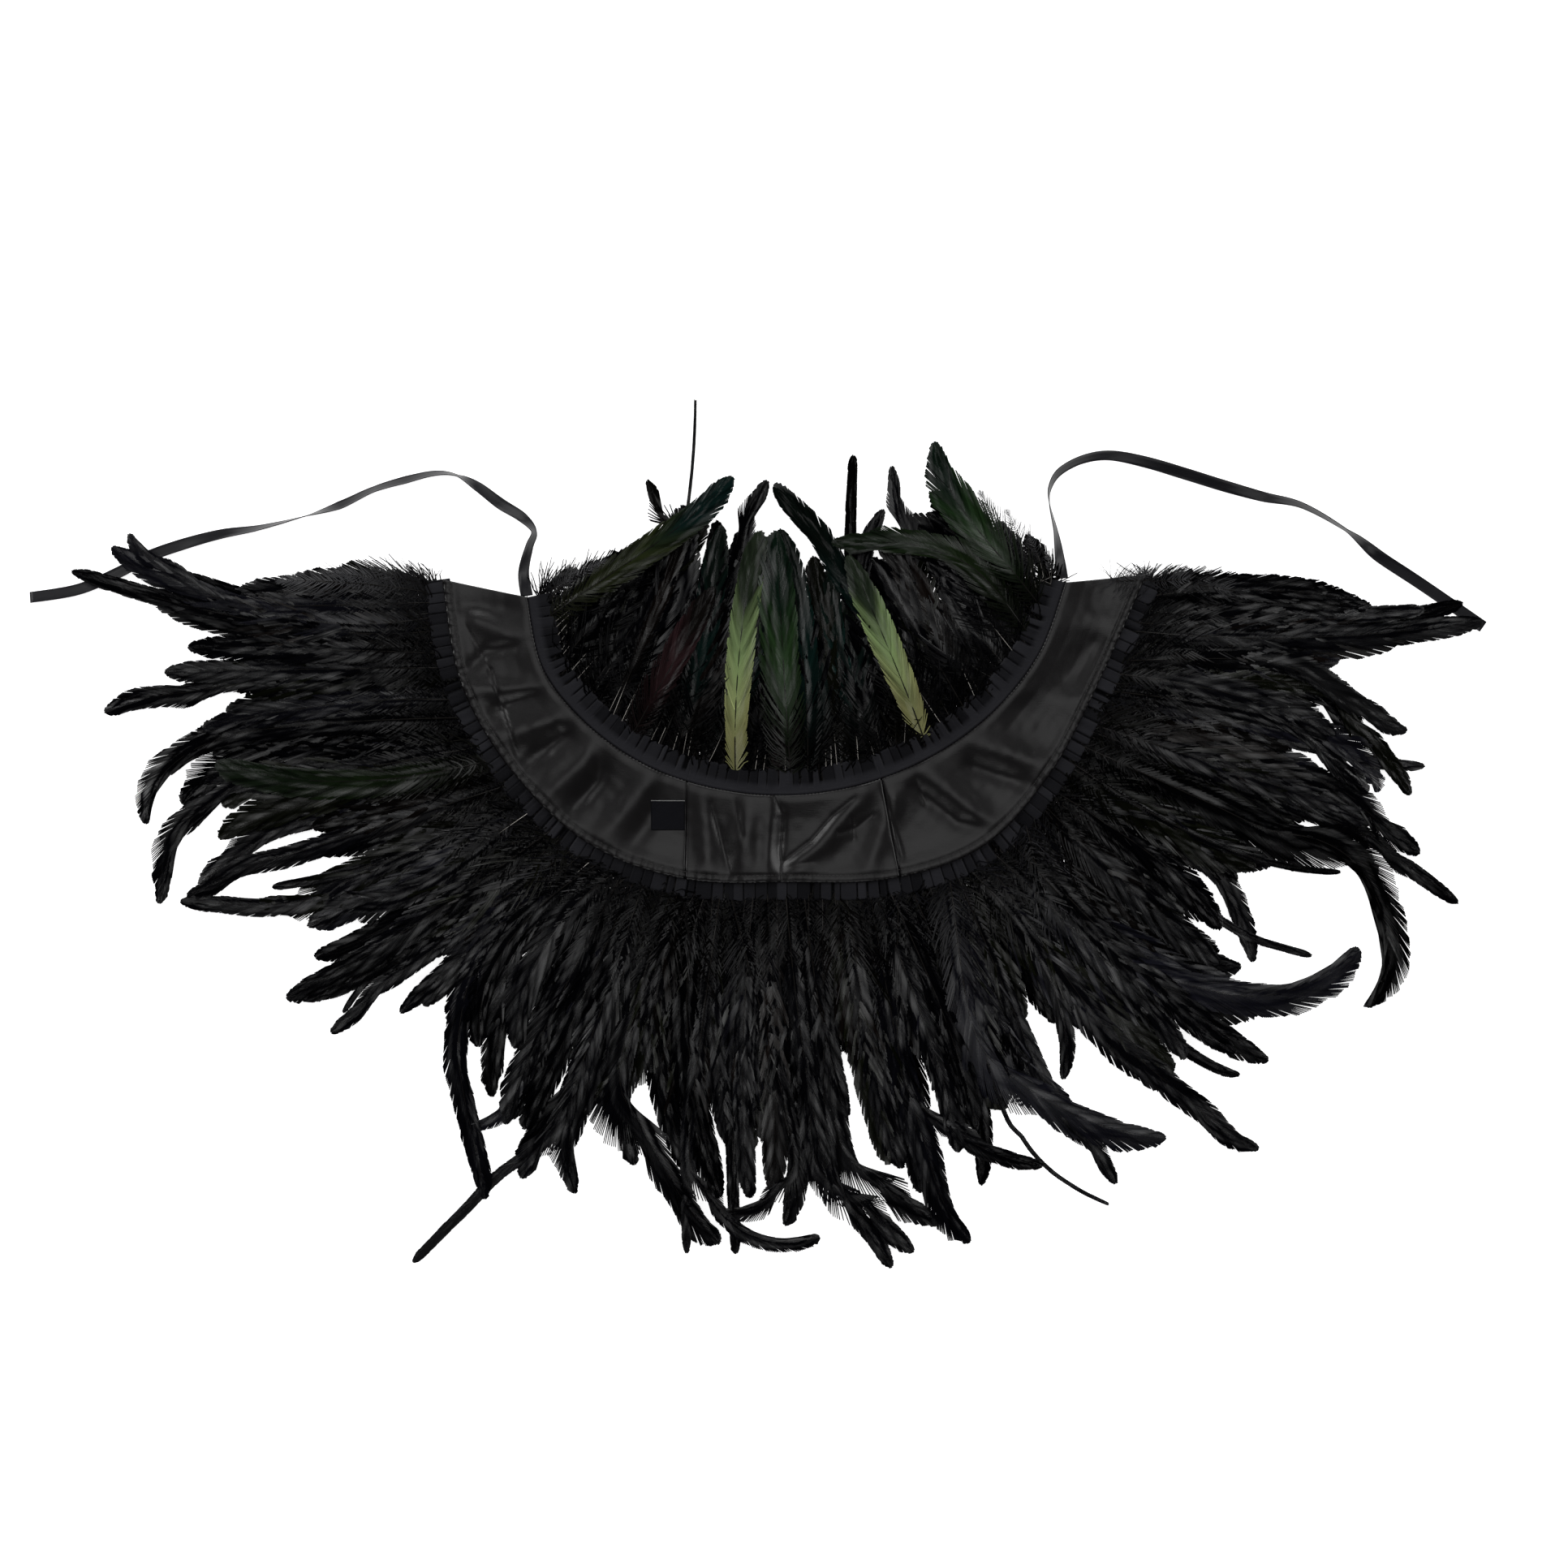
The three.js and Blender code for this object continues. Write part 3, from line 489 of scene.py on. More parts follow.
class Edge:
    """A smooth edge that is walked by shares of its length. Outwards is away from the yoke."""

    def __init__(self, stations, outward):
        self.line = through(on_plan(stations))
        self.run = runs(self.line)
        self.length = self.run[-1]
        self.outward = outward

    def at(self, place, off=0.0):
        """Points at these places, moved off the edge by a distance."""
        want = np.clip(np.asarray(place, float), 0, 1) * self.length
        x, y = (np.interp(want, self.run, self.line[:, k]) for k in (0, 1))
        slope = np.gradient(self.line, self.run, axis=0)
        tx, ty = (np.interp(want, self.run, slope[:, k]) for k in (0, 1))
        normal = unit(np.stack([ty, -tx], axis=-1)) * self.outward
        return np.stack([x, y], axis=-1) + normal * np.asarray(off, float)[..., None]

    def away(self, points):
        """The distance of each point from the edge."""
        near = self.line[::8]
        flat = points.reshape(-1, 2)
        gap = np.concatenate([
            np.linalg.norm(part[:, None] - near[None], axis=-1).min(axis=1)
            for part in np.array_split(flat, max(1, len(flat) // 4000))
        ])
        return gap.reshape(points.shape[:-1])


neck_edge, hem_edge = Edge(neck_stations, -1), Edge(hem_stations, 1)
panels = [
    {"name": "left_front", "neck": (0, 0.352), "hem": (0, 0.4)},
    {"name": "back", "neck": (0.352, 0.62), "hem": (0.4, 0.607)},
    {"name": "right_front", "neck": (0.62, 1), "hem": (0.607, 1)},
]
print("neck edge", round(neck_edge.length, 3), "m, hem edge", round(hem_edge.length, 3), "m")

# %% [markdown]
# ## The lining's folds
# The lining is cut a little full, so it lies in soft ridges from neck to hem, with a few sharp creases near
# the centre back. Each fold is a line on the plan with a width and a height in millimetres; a trough has a
# negative height. They are summed into one height for each point of the cloth. At both edges the cloth is
# lifted by the trims that lie between it and the outer cloth, and near the hem it puckers at the stitches
# that hold the gathered tape.

# %% Describe the folds
soft_folds = [
    ([(588, 765), (640, 790)], 8, 1.6), ([(580, 850), (672, 848)], 7, 1.8),
    ([(612, 910), (700, 880)], 9, 2.2), ([(668, 985), (745, 915)], 10, 2.8),
    ([(745, 1030), (800, 962)], 10, 2.2), ([(868, 980), (872, 1070)], 8, 1.8),
    ([(925, 990), (918, 1035), (922, 1082)], 11, 3.4), ([(950, 982), (945, 1080)], 6, 2.0),
    ([(1062, 975), (1020, 1030), (985, 1068)], 9, 2.6), ([(1100, 985), (1070, 1075)], 8, 2.0),
    ([(1140, 950), (1235, 1030)], 10, 2.6), ([(1195, 910), (1300, 950)], 10, 2.4),
    ([(1262, 850), (1345, 868)], 11, 1.6), ([(1300, 760), (1385, 775)], 12, 1.2),
    ([(650, 792), (600, 802), (572, 828)], 5, -1.3), ([(686, 846), (640, 862), (612, 874)], 5, -1.2),
    ([(692, 906), (664, 930), (640, 948)], 6, -1.4), ([(742, 915), (736, 960), (702, 1002)], 6, -1.7),
    ([(822, 955), (800, 1010), (775, 1050)], 7, -1.3), ([(1200, 944), (1250, 962), (1290, 982)], 6, -1.3),
    ([(1130, 970), (1180, 1012), (1246, 1030)], 6, -1.4),
    ([(1250, 868), (1300, 850), (1352, 800)], 11, -1.3), ([(560, 745), (640, 752)], 6, -0.8),
]
creases = [
    ([(955, 980), (965, 1002), (961, 1045), (963, 1086)], 2.6, -2.4),
    ([(876, 990), (890, 1040), (900, 1078)], 2.6, -1.3),
    ([(1052, 984), (1026, 1006), (1000, 1036), (966, 1062)], 2.2, -1.8),
    ([(966, 1070), (1000, 1062)], 3, -1.2), ([(1086, 966), (1096, 1000), (1112, 1056)], 1.8, -1.3),
    ([(1034, 1026), (1054, 1020), (1076, 1004)], 1.6, -0.8), ([(1050, 1008), (1052, 1034)], 1.6, -0.8),
    ([(603, 825), (625, 890), (637, 930)], 1.1, -0.9), ([(573, 770), (603, 825)], 1.1, -0.4),
    ([(1128, 958), (1140, 990)], 1.8, -0.7), ([(905, 985), (915, 1030)], 2, -0.6),
]
ACROSS = [0, 0.09, 0.27, 0.42, 0.56, 0.69, 0.8, 0.91, 1]
LIFTED = [1, 1, 0.35, 0.1, 0, 0.12, 0.45, 1, 1]
LINING = {"over_shell": 2.7 * MM, "over_trim": 4.75 * MM, "solid": 1.2 * MM, "thick": 0.5 * MM}
STITCHED_AT = 5 * MM
PLEAT = 7.5 * MM
FOLD_GAIN = 1.2


def off_line(points, line):
    """The distance of each point from a line of straight pieces."""
    best = np.full(points.shape[:-1], np.inf)
    for a, b in zip(line[:-1], line[1:]):
        along = b - a
        share = np.clip(((points - a) @ along) / (along @ along), 0, 1)
        best = np.minimum(best, np.linalg.norm(points - a - share[..., None] * along, axis=-1))
    return best


def wander(x, seed=0.0):
    """A smooth wave without a clear beat, from -1 to 1."""
    return (np.sin(x + seed) + np.sin(x * 2.31 + seed * 1.7 + 1) + np.sin(x * 4.73 + seed * 2.9 + 2)) / 3


def lining_height(points):
    """The lining's height at points on the plan, and how far they are from the neck and from the hem."""
    to_neck, to_hem = neck_edge.away(points), hem_edge.away(points)
    lifted = np.interp(to_neck / (to_neck + to_hem), ACROSS, LIFTED)
    height = LINING["over_shell"] + (LINING["over_trim"] - LINING["over_shell"]) * lifted + LINING["solid"]
    folds = np.zeros(lifted.shape)
    for line, width, rise in soft_folds:
        folds += FOLD_GAIN * rise * np.exp(-((off_line(points, on_plan(line)) / (width * MM)) ** 2))
    for line, width, rise in creases:
        folds += rise * np.exp(-(off_line(points, on_plan(line)) / (width * MM)) ** 1.2)
    folds += 0.25 * wander(points[..., 0] * 130, 1) * wander(points[..., 1] * 110, 3)
    return height + folds * (1 - 0.6 * lifted) * MM, to_neck, to_hem


# %% [markdown]
# The lining is cut as two fronts and a back, so it is three pieces of cloth whose edges dip into the seams
# between them. A grid suits it: its columns run from neck to hem, close enough together to carry the
# puckers. The dip at each seam, the row of stitches inside the hem and the edge that is turned under are
# all lines where thread pulls the satin down, and there the cloth is painted near-black and matt as
# painted shade.


# %% Make the lining
def share_of(panel, edge, shares, gap=0.04 * MM):
    """Places along an edge for shares of a panel, a little inside its seams."""
    low, high = panel[edge]
    step = gap / (neck_edge if edge == "neck" else hem_edge).length
    return np.clip(low + step * (low > 0) + shares * (high - low - step * (low > 0) - step * (high < 1)), 0, 1)


def cloth_piece(name, points, material, thick, painted_shade_and_dull=None):
    """Cloth from a grid of points, with its own thickness below it."""
    columns, rows = points.shape[:2]
    flat = points.reshape(-1, 3)
    shade_and_dull_values = np.zeros(len(flat)) if painted_shade_and_dull is None else painted_shade_and_dull
    made = new_piece(name, flat, facing_up(flat, grid_faces(columns, rows)), material, {"painted_shade_and_dull": shade_and_dull_values})
    wall = made.modifiers.new("cloth", "SOLIDIFY")
    wall.thickness, wall.offset = thick, -1
    return made


def declare_cloth(piece, node, wide, area_share):
    """Attaches a cloth piece, hides its node, and prints the size of the flat cut that it was made from."""
    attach(piece, "root")
    if node:
        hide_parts(node)
    area = sum(face.area for face in piece.data.polygons) * area_share
    long = round(area / wide * 1.06, 3)
    print(piece.name, round(wide * 1000), "by", round(long * 1000), "mm,", round(area * 1e4), "square cm")


COLUMN, ROW = 1.3 * MM, 1.4 * MM
DIP_WIDE, RIM_WIDE = 0.9 * MM, 0.8 * MM
PUCKER_REACH = 4.5 * MM
for panel in panels:
    columns = int((panel["hem"][1] - panel["hem"][0]) * hem_edge.length / COLUMN)
    shares = np.linspace(0, 1, columns)
    neck, hem = neck_edge.at(share_of(panel, "neck", shares)), hem_edge.at(share_of(panel, "hem", shares))
    rows = int(np.linalg.norm(neck - hem, axis=1).max() / ROW)
    across = np.linspace(0, 1, rows)[None, :, None]
    plan = neck[:, None] * (1 - across) + hem[:, None] * across
    height, to_neck, to_hem = lining_height(plan)
    run = share_of(panel, "hem", shares) * hem_edge.length
    pucker = wander(run * 2 * math.pi / PLEAT, 2)[:, None] * np.exp(-((to_hem / PUCKER_REACH) ** 2))
    stitched = np.exp(-(((to_hem - STITCHED_AT) / DIP_WIDE) ** 2))
    near_neck, near_hem = np.exp(-((to_neck / DIP_WIDE) ** 2)), np.exp(-((to_hem / RIM_WIDE) ** 2))
    seam = np.zeros(height.shape)
    for share, place in ((0, panel["neck"][0]), (1, panel["neck"][1])):
        if 0 < place < 1:
            reach = np.abs(shares - share)[:, None] * np.linalg.norm(neck[-1] - neck[0])
            seam = np.maximum(seam, 0.6 * np.exp(-((reach / RIM_WIDE) ** 2)))
    height = height + (0.45 * pucker - 0.45 * stitched - 0.8 * near_neck - 0.6 * near_hem - 0.35 * seam) * MM
    # Painted shade: the seam, stitch and edge dips turn near-black and matt.
    painted_shade_and_dull = np.clip(0.5 * stitched + 0.9 * near_neck + 0.5 * near_hem + seam, 0, 1)
    points = np.concatenate([plan, height[..., None]], axis=-1)
    lining = cloth_piece(f"satin_lining_{panel['name']}", points, lining_satin, LINING["thick"], painted_shade_and_dull)
    wide = round(float(np.linalg.norm(neck - hem, axis=1).max()), 3)
    declare_cloth(lining, f"lining_{panel['name']}", wide, 1.0)

# %% [markdown]
# ## The outer cloth
# The yoke's outer satin lies face down on the floor, so only its turned edges are ever seen. It is still
# made as cloth: a sheet in each panel's shape, a little wavy, with its edges rounded down.

# %% Make the outer cloth
SHELL = {"top": 1.3 * MM, "thick": 0.5 * MM, "column": 4 * MM, "rows": 22, "overlap": 0.3 * MM}
for panel in panels:
    columns = int((panel["hem"][1] - panel["hem"][0]) * hem_edge.length / SHELL["column"])
    shares = np.linspace(0, 1, columns)
    neck = neck_edge.at(share_of(panel, "neck", shares, -SHELL["overlap"]))
    hem = hem_edge.at(share_of(panel, "hem", shares, -SHELL["overlap"]))
    across = np.linspace(0, 1, SHELL["rows"])[None, :, None]
    plan = neck[:, None] * (1 - across) + hem[:, None] * across
    edge_gap = np.minimum(neck_edge.away(plan), hem_edge.away(plan))
    wave = 0.28 * wander(plan[..., 0] * 160, 4) * wander(plan[..., 1] * 140, 1)
    height = SHELL["top"] + (wave - 0.3) * MM - 0.45 * MM * np.exp(-((edge_gap / (1.5 * MM)) ** 2))
    points = np.concatenate([plan, height[..., None]], axis=-1)
    outer = cloth_piece(f"outer_satin_{panel['name']}", points, shell_satin, SHELL["thick"])
    wide = round(float(np.linalg.norm(neck - hem, axis=1).max()), 3)
    declare_cloth(outer, f"shell_{panel['name']}", wide, 1.0)

# %% [markdown]
# ## The gathered tape
# Feather trim is sold sewn to a soft tape, and here the tape is gathered into small flat pleats, about 7.5
# mm each, with a groove between two of them that is also painted near-black and matt as painted shade. At
# the hem they run the whole width of the tape. At the neck the tape is smooth next to the lining, where a
# narrow lip is turned up, and the pleats only open towards its free edge. Every pleat is a little different
# in width, height and length, and a few are dulled at random, which is what makes it read as gathered
# cloth. A plain tape lies below the gathered one.

# %% Make the tapes
TRIMS = {
    "hem": {
        "edge": hem_edge, "side": "hem", "slot": "hem_feathers", "free": 12 * MM, "smooth": -2 * MM,
        "opens": 3 * MM, "lip": 0.0, "top": 4.15 * MM, "pleat_seed": 3,
    },
    "collar": {
        "edge": neck_edge, "side": "neck", "slot": "collar_feathers", "free": 17.5 * MM, "smooth": 5 * MM,
        "opens": 3 * MM, "lip": 0.5 * MM, "top": 4.1 * MM, "pleat_seed": 8,
    },
}
TUCKED = 5 * MM
PLEAT_POINT = 0.55 * MM
TAPE_THICK, PLAIN_THICK, PLAIN_LEVEL = 0.35 * MM, 0.4 * MM, 2.2 * MM


def hashed(n):
    """A number from 0 to 1 for each whole number, the same in every run."""
    return np.modf(np.abs(np.sin(np.asarray(n, float) * 12.9898) * 43758.5453))[0]


def pleats(run, seed):
    """Each column's pleat number, its height from 0 in a groove to 1 on top, its place across the pleat."""
    at = run / PLEAT + 0.35 * wander(run * 190, seed) + seed
    number = np.floor(at)
    inside = at - number
    groove = 0.1 + 0.1 * hashed(number + 5 * seed)
    top = np.clip(np.minimum(inside, 1 - inside) / groove, 0, 1)
    return number, top * top * (3 - 2 * top), inside


for trim_name, trim in TRIMS.items():
    for panel in panels:
        low, high = panel[trim["side"]]
        places = np.linspace(low, high, int((high - low) * trim["edge"].length / PLEAT_POINT))
        run = places * trim["edge"].length
        number, top, inside = pleats(run, trim["pleat_seed"])
        tall = 0.45 + 0.55 * hashed(number + 17)
        slant = (inside - 0.5) * (hashed(number + 40) - 0.5)
        near_edge = [-TUCKED, -1.2 * MM, 0, 0.8 * MM, 1.6 * MM]
        offs = np.concatenate([near_edge, np.linspace(2.6 * MM, trim["free"], 9)])
        stretch = 1 + 0.05 * (hashed(number + 90) - 0.5) + 0.03 * wander(run * 420, 5) + 0.03 * (top - 1)
        off = offs[None, :] * np.where(offs > 0, stretch[:, None], 1)
        plan = np.stack([trim["edge"].at(places, off[:, k]) for k in range(len(offs))], axis=1)
        grow = np.clip((offs - trim["smooth"]) / trim["opens"], 0, 1)[None, :]
        lip = np.exp(-(((offs - 0.9 * MM) / (0.7 * MM)) ** 2))[None, :] * trim["lip"]
        height = trim["top"] + lip + (
            1.35 * top[:, None] * tall[:, None] + 2.4 * slant[:, None] - 1.05
        ) * grow * MM
        dull = 0.7 * hashed(number + 61) ** 1.5
        # Painted shade in the pleats' grooves, and some whole pleats dulled at random.
        painted_shade_and_dull = np.clip(np.maximum(0.95 * (1 - top), dull)[:, None] * grow, 0, 1) * np.ones_like(off)
        points = np.concatenate([plan, height[..., None]], axis=-1)
        wide, rests = round(TUCKED + trim["free"], 4), [f"shell_{panel['name']}"]
        ending = f"{trim_name}_{panel['name']}"
        tape = cloth_piece(f"gathered_tape_{ending}", points, tape_satin, TAPE_THICK, painted_shade_and_dull)
        declare_cloth(tape, None, wide, 1.25)
        under = [plan[::6, k] for k in (0, 5, 9, len(offs) - 1)]
        level = PLAIN_LEVEL + 0.2 * MM * wander(run[::6] * 300, 2)
        strip = np.stack([np.column_stack([line, level]) for line in under], axis=1)
        plain = cloth_piece(f"plain_tape_{ending}", strip, tape_satin, PLAIN_THICK)
        declare_cloth(plain, None, wide, 1.1)

# %% [markdown]
# ## Feathers, barb by barb
# A cock feather is a tapering shaft with hundreds of barbs on either side. The barbs leave it at a slant,
# curve towards the tip and hold together in bunches, so the vane shows silky streaks and splits at its
# edge. Near the quill they are down: long, fine and loose. A flat blade shows none of that, so each feather
# starts as a bare quill line, and one Geometry Nodes tree grows the barbs along it. What differs from
# feather to feather travels along the line as attributes: the vane's reach on each side, how downy it is,
# its colour, its roll about the shaft.
#
# The longest feathers are noted one by one, each as the few places that its shaft passes. So are the openings
# between them where the floor shows, since the feathers that fill up the rest have to leave those free.


# %% Write down the hem's feathers
# Where each is sewn along its edge, the places that it passes, its tip, its vane's width in millimetres, and
# its colour.
hem_feathers = [
    (0.001, 510, 712, 498, 703, 16, "haze"), (0.002, 485, 710, 455, 700, 20, "haze"),
    (0.003, 455, 712, 400, 706, 22, "haze"), (0.004, 420, 718, 340, 716, 22, "haze"),
    (0.006, 400, 728, 290, 732, 20, "ink"), (0.008, 430, 722, 352, 722, 20, "ink"),
    (0.01, 310, 745, 225, 710, 185, 686, 160, 658, 12, "grey"), (0.015, 350, 748, 210, 704, 15, "ink"),
    (0.022, 300, 748, 140, 674, 18, "grey"), (0.035, 300, 762, 90, 705, 12, "ink"),
    (0.045, 340, 778, 190, 738, 20, "ink"), (0.06, 370, 800, 232, 797, 18, "ink"),
    (0.075, 360, 825, 203, 827, 17, "ink"), (0.085, 330, 835, 250, 850, 188, 859, 128, 877, 17, "ink"),
    (0.11, 380, 872, 250, 897, 17, "grey"),
    (0.13, 420, 890, 300, 903, 240, 924, 204, 952, 186, 985, 180, 1016, 19, "ink"),
    (0.17, 400, 955, 310, 962, 262, 988, 228, 1018, 211, 1054, 202, 1090, 197, 1114, 18, "ink"),
    (0.185, 390, 962, 268, 938, 20, "moss"), (0.2, 370, 992, 270, 1034, 26, "olive"),
    (0.208, 380, 1010, 302, 1048, 245, 1090, 16, "ink"),
    (0.215, 400, 1040, 320, 1062, 275, 1084, 230, 1103, 15, "ink"),
    (0.225, 470, 1062, 335, 1092, 7, "ink"),
    (0.235, 440, 1080, 400, 1103, 345, 1114, 285, 1114, 222, 1110, 13, "ink"),
    (0.245, 520, 1090, 440, 1112, 380, 1142, 17, "ink"), (0.25, 450, 1112, 388, 1142, 17, "grey"),
    (0.262, 480, 1140, 388, 1180, 17, "ink"), (0.275, 460, 1172, 353, 1228, 18, "ink"),
    (0.285, 490, 1180, 372, 1232, 13, "ink"), (0.29, 500, 1165, 455, 1205, 422, 1248, 5, "ink"),
    (0.3, 520, 1180, 478, 1208, 446, 1240, 408, 1273, 12, "ink"), (0.31, 570, 1180, 493, 1248, 15, "ink"),
    (0.315, 590, 1175, 520, 1238, 14, "ink"), (0.325, 610, 1190, 590, 1290, 18, "ink"),
    (0.33, 625, 1130, 582, 1200, 566, 1270, 567, 1320, 578, 1380, 592, 1440, 598, 1478, 16, "grey"),
    (0.335, 640, 1215, 612, 1295, 606, 1352, 17, "ink"),
    (0.337, 665, 1130, 624, 1200, 606, 1285, 24, "ink"),
    (0.339, 705, 1120, 655, 1200, 632, 1290, 26, "ink"),
    (0.34, 690, 1230, 645, 1320, 624, 1386, 20, "ink"),
    (0.341, 698, 1226, 652, 1320, 632, 1380, 20, "ink"),
    (0.344, 724, 1130, 694, 1192, 668, 1262, 654, 1335, 24, "ink"),
    (0.345, 660, 1300, 625, 1362, 576, 1394, 12, "grey"),
    (0.348, 716, 1235, 676, 1325, 648, 1392, 24, "ink"),
    (0.352, 740, 1280, 692, 1358, 636, 1432, 21, "ink"),
    (0.355, 705, 1345, 672, 1400, 642, 1452, 17, "ink"),
    (0.362, 724, 1330, 703, 1390, 703, 1440, 709, 1471, 19, "ink"),
    (0.37, 790, 1270, 740, 1345, 680, 1400, 620, 1444, 575, 1488, 508, 1556, 8, "brush"),
    (0.378, 765, 1310, 790, 1385, 820, 1440, 847, 1486, 888, 1531, 21, "ink"),
    (0.385, 812, 1300, 852, 1445, 18, "ink"), (0.39, 845, 1390, 846, 1545, 8, "ink"),
    (0.4, 808, 1230, 803, 1322, 15, "ink"), (0.41, 850, 1300, 888, 1475, 20, "ink"),
    (0.415, 880, 1290, 903, 1420, 16, "ink"),
    (0.42, 850, 1400, 868, 1460, 900, 1503, 935, 1524, 972, 1529, 1011, 1523, 11, "ink"),
    (0.43, 975, 1400, 962, 1458, 928, 1486, 884, 1494, 12, "ink"),
    (0.445, 903, 1360, 908, 1545, 9, "ink"), (0.455, 915, 1350, 922, 1476, 15, "ink"),
    (0.47, 955, 1350, 952, 1470, 20, "brown"), (0.49, 995, 1330, 1018, 1440, 17, "ink"),
    (0.5, 985, 1400, 966, 1510, 17, "ink"), (0.505, 1020, 1290, 1046, 1375, 18, "ink"),
    (0.51, 1000, 1400, 1035, 1465, 1070, 1515, 1100, 1561, 14, "ink"),
    (0.515, 1030, 1385, 1075, 1449, 1118, 1483, 1158, 1507, 21, "ink"),
    (0.52, 1020, 1420, 1062, 1480, 1127, 1541, 16, "ink"), (0.525, 1090, 1330, 1118, 1425, 13, "ink"),
    (0.53, 1068, 1320, 1098, 1434, 19, "olive"), (0.54, 1085, 1350, 1110, 1440, 18, "ink"),
    (0.555, 1115, 1365, 1136, 1470, 16, "ink"),
    (0.565, 1108, 1300, 1137, 1400, 1160, 1476, 1196, 1530, 21, "grey"),
    (0.567, 1135, 1250, 1164, 1340, 1179, 1420, 20, "ink"), (0.57, 1148, 1250, 1195, 1388, 20, "ink"),
    (0.58, 1180, 1300, 1203, 1395, 16, "ink"),
    (0.59, 1110, 1320, 1170, 1388, 1225, 1420, 1285, 1437, 14, "ink"),
    (0.6, 1200, 1330, 1208, 1461, 14, "ink"),
    (0.63, 1228, 1345, 1258, 1400, 1290, 1438, 1330, 1466, 1367, 1484, 3, "ink"),
    (0.635, 1240, 1260, 1262, 1320, 16, "ink"),
    (0.64, 1200, 1270, 1260, 1335, 1330, 1376, 1390, 1395, 1437, 1401, 24, "grey"),
    (0.647, 1290, 1340, 1340, 1405, 1375, 1459, 12, "ink"), (0.66, 1302, 1230, 1310, 1330, 13, "ink"),
    (0.68, 1340, 1240, 1410, 1310, 1462, 1353, 1505, 1391, 1551, 1416, 18, "ink"),
    (0.69, 1400, 1225, 1462, 1302, 20, "ink"), (0.7, 1430, 1270, 1528, 1325, 9, "ink"),
    (0.705, 1440, 1235, 1522, 1298, 18, "ink"), (0.71, 1455, 1235, 1563, 1305, 20, "ink"),
    (0.73, 1300, 1125, 1390, 1185, 1470, 1215, 1545, 1227, 1605, 1216, 1648, 1192, 1676, 1170, 25, "grey"),
    (0.76, 1400, 1100, 1502, 1188, 24, "ink"),
    (0.77, 1430, 1080, 1495, 1128, 1545, 1156, 1617, 1178, 6, "ink"),
    (0.775, 1400, 1040, 1460, 1090, 1506, 1142, 24, "ink"),
    (0.78, 1400, 1010, 1480, 1060, 1515, 1105, 1534, 1150, 1544, 1186, 15, "ink"),
    (0.81, 1530, 1052, 1652, 1074, 5, "ink"),
    (0.83, 1490, 990, 1560, 1022, 1618, 1033, 1660, 1055, 1687, 1090, 1704, 1132, 1710, 1168,
     1704, 1204, 1686, 1242, 26, "wet"),
    (0.85, 1640, 1010, 1712, 1052, 1797, 1112, 12, "ink"), (0.855, 1600, 978, 1690, 1015, 20, "ink"),
    (0.86, 1620, 960, 1690, 1005, 1750, 1050, 18, "ink"),
    (0.88, 1600, 915, 1690, 937, 1756, 943, 9, "ink"),
    (0.885, 1600, 900, 1676, 944, 1697, 977, 20, "grey"),
    (0.887, 1560, 882, 1640, 936, 1686, 976, 15, "ink"),
    (0.895, 1600, 842, 1662, 884, 1710, 938, 1738, 980, 14, "olive"),
    (0.905, 1560, 868, 1645, 905, 20, "ink"),
    (0.92, 1560, 815, 1650, 856, 1700, 887, 1733, 902, 16, "brush"),
    (0.925, 1540, 800, 1680, 868, 17, "ink"), (0.935, 1540, 812, 1650, 815, 22, "grey"),
    (0.955, 1650, 784, 1824, 764, 17, "ink"), (0.965, 1650, 771, 1802, 744, 12, "ink"),
    (0.98, 1600, 760, 1753, 752, 12, "ink"), (0.988, 1570, 740, 1690, 749, 18, "ink"),
    (0.99, 1560, 728, 1668, 739, 18, "ink"), (0.992, 1520, 725, 1636, 727, 20, "ink"),
    (0.994, 1480, 722, 1548, 736, 18, "haze"), (0.997, 1430, 716, 1498, 712, 18, "haze"),
    (0.9985, 1370, 714, 1425, 704, 16, "haze"),
]
print(len(hem_feathers), "hem feathers are placed by hand")

# %% [markdown]
# The neck's feathers are shorter, more colourful and partly pale at the quill. They are noted in the same
# way, from the left corner of the neck to the right one.

